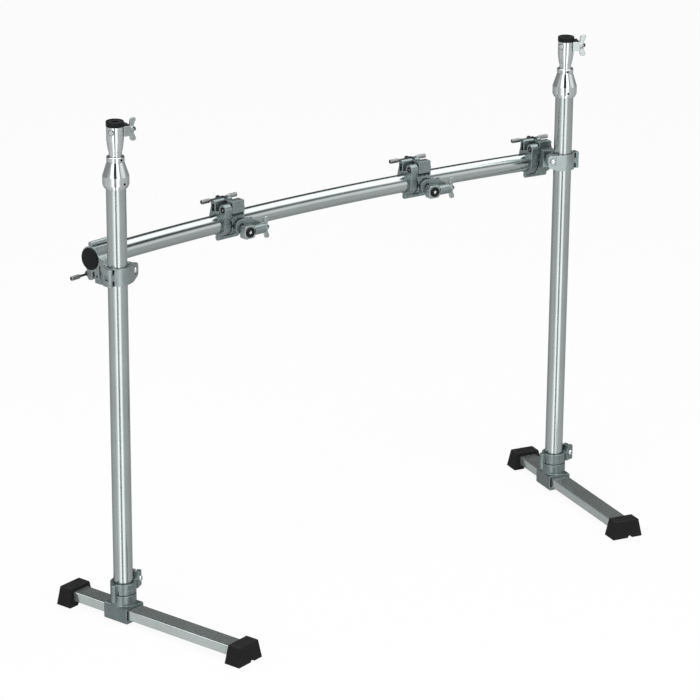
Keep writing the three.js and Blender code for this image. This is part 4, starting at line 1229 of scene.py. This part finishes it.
for name, stand in clamp_places.items():
    washer = turned((
        (washer_bore, washer_from), (washer_radius - washer_break, washer_from),
        (washer_radius, washer_from + washer_break), (washer_radius, washer_to - washer_break),
        (washer_radius - washer_break, washer_to), (washer_bore, washer_to),
    ), "y", (0, bolt_z))
    piece(f"{name}_washer", washer, stand, dark_steel, f"{name}_washer",
          f"{name}_bolt_washer")
    screw = threaded(bolt_front, head_from, "y", (0, bolt_z))
    head = turned((
        (0, head_from), (head_radius - head_break, head_from),
        (head_radius, head_from + head_break), (head_radius, head_end - head_dome),
        (head_radius - head_break, head_end - head_break),
        (head_radius - head_dome, head_end), (0, head_end),
    ), "y", (0, bolt_z))
    half_bar = ((bar_radius, grip_to - 1), (bar_head, grip_to - 1), (bar_head, grip_to),
                (bar_head - 0.4, bar_end), (0, bar_end))
    other_half = [(radius, -along) for radius, along in reversed(half_bar)]
    cross = turned((*other_half, *half_bar), "x", (bar_y, bolt_z), 24)
    piece(f"{name}_t_bolt", gathered(screw, head, cross), stand, dark_steel, f"{name}_handle",
          f"{name}_t_handle")
    piece(f"{name}_grips", gathered(knurled_grip(), mirrored(knurled_grip())), stand, grip_alloy,
          f"{name}_handle")


# Accessory clamps: jaws whose arm ends in a toothed disc. A holder is screwed to it, and
# carries an eyebolt with a plastic bush and a wing nut for a cymbal or tom arm.
eye_left = -3
eye_width = 27
eye_middle = eye_left + eye_width / 2
eye_y = -46.5
eye_z = -13
eye_half = 13.5
eye_depth = 8
eye_front = eye_y - eye_depth
eye_corner = 5
eye_rounding = 1
shank_plain = 26
shank_end = 64.3
bush_radius = 10.4
bush_seat = 7.6
bush_bore = 4.6
bush_front = -57.5
stud_radius = 2.9
stud_front = bush_front + 1
barrel_right = 51.3
arm_centre = (3, -3)
pivot_front = -37.5
pivot_back = -25.95
pivot_head = 6
pivot_height = 3
pivot_shank = 3
pivot_socket = 1.6
disc_radius = 15.6
tooth_depth = 1.6
tooth_count = 30
tooth_rounding = 0.2
tooth_front = -31.6
tooth_back = -29.2

pale_nylon = finish("pale nylon", moulded, 0, colour=(0.72, 0.73, 0.73, 1), dust=0.1, scale=1200,
                    roughness=0.4, depth=0.1)
eye_cast = finish("satin zinc eye", cast_skin, 0.85, colour=(0.29, 0.325, 0.325, 1), edge=0.9,
                  scale=1000, roughness=0.3, depth=0.2)

for name in ("clamp_a", "clamp_b"):
    stand = clamp_places[name]
    holder = f"{name}_holder"
    eye_centre = (eye_middle, eye_z)
    casting(f"{name}_front_jaw", f"{name}_jaw", cast_metal, name)
    casting(f"{name}_arm_holder", holder, cast_metal, holder)
    pivot = turned((
        (0, pivot_front + pivot_socket), (pivot_socket, pivot_front + pivot_socket),
        (pivot_socket, pivot_front), (pivot_head - 0.6, pivot_front),
        (pivot_head, pivot_front + 0.6), (pivot_head, pivot_front + pivot_height),
        (pivot_shank, pivot_front + pivot_height), (pivot_shank, pivot_back), (0, pivot_back),
    ), "y", arm_centre)
    piece(f"{name}_pivot_screw", pivot, stand, dark_steel, holder,
          f"{name}_holder_screw")
    eye = slab(rectangle(eye_width / 2, eye_half, eye_centre), "y", eye_front, eye_y + eye_depth,
               eye_corner, eye_rounding)
    piece(f"{name}_eye", eye, stand, eye_cast, holder, f"{name}_eye_bolt", 40,
          True)
    shank = threaded(eye_left + eye_width - 1, shank_end, "x", (eye_y, eye_z), shank_plain)
    piece(f"{name}_eye_shank", shank, stand, dark_steel, holder)
    stud = turned((
        (0, stud_front), (stud_radius - 0.5, stud_front), (stud_radius, stud_front + 0.5),
        (stud_radius, eye_front + 0.3), (0, eye_front + 0.3),
    ), "y", eye_centre, 32)
    piece(f"{name}_eye_stud", stud, stand, pale_nylon, holder)
    teeth = fluted(disc_radius, tooth_depth, tooth_count, tooth_front, tooth_back, "y", arm_centre,
                   tooth_rounding)
    piece(f"{name}_toothed_disc", teeth, stand, black_steel, name)
    bush = turned((
        (bush_bore, bush_front + 0.6), (bush_bore + 0.6, bush_front),
        (bush_radius - 1.5, bush_front), (bush_radius - 0.4, bush_front + 0.5),
        (bush_radius, bush_front + 1.5),
        (bush_radius, eye_front - 0.3), (bush_seat, eye_front - 0.3), (bush_seat, eye_front + 0.5),
        (bush_bore, eye_front + 0.5),
    ), "y", eye_centre, 48)
    piece(f"{name}_bush", bush, stand, black_plastic, holder, f"{name}_eye_bush")
    piece(f"{name}_nut", wing_nut(barrel_right + nut_gap, (eye_y, eye_z)), stand, bright_cast,
          f"{name}_nut", f"{name}_wing_nut", 35, True)
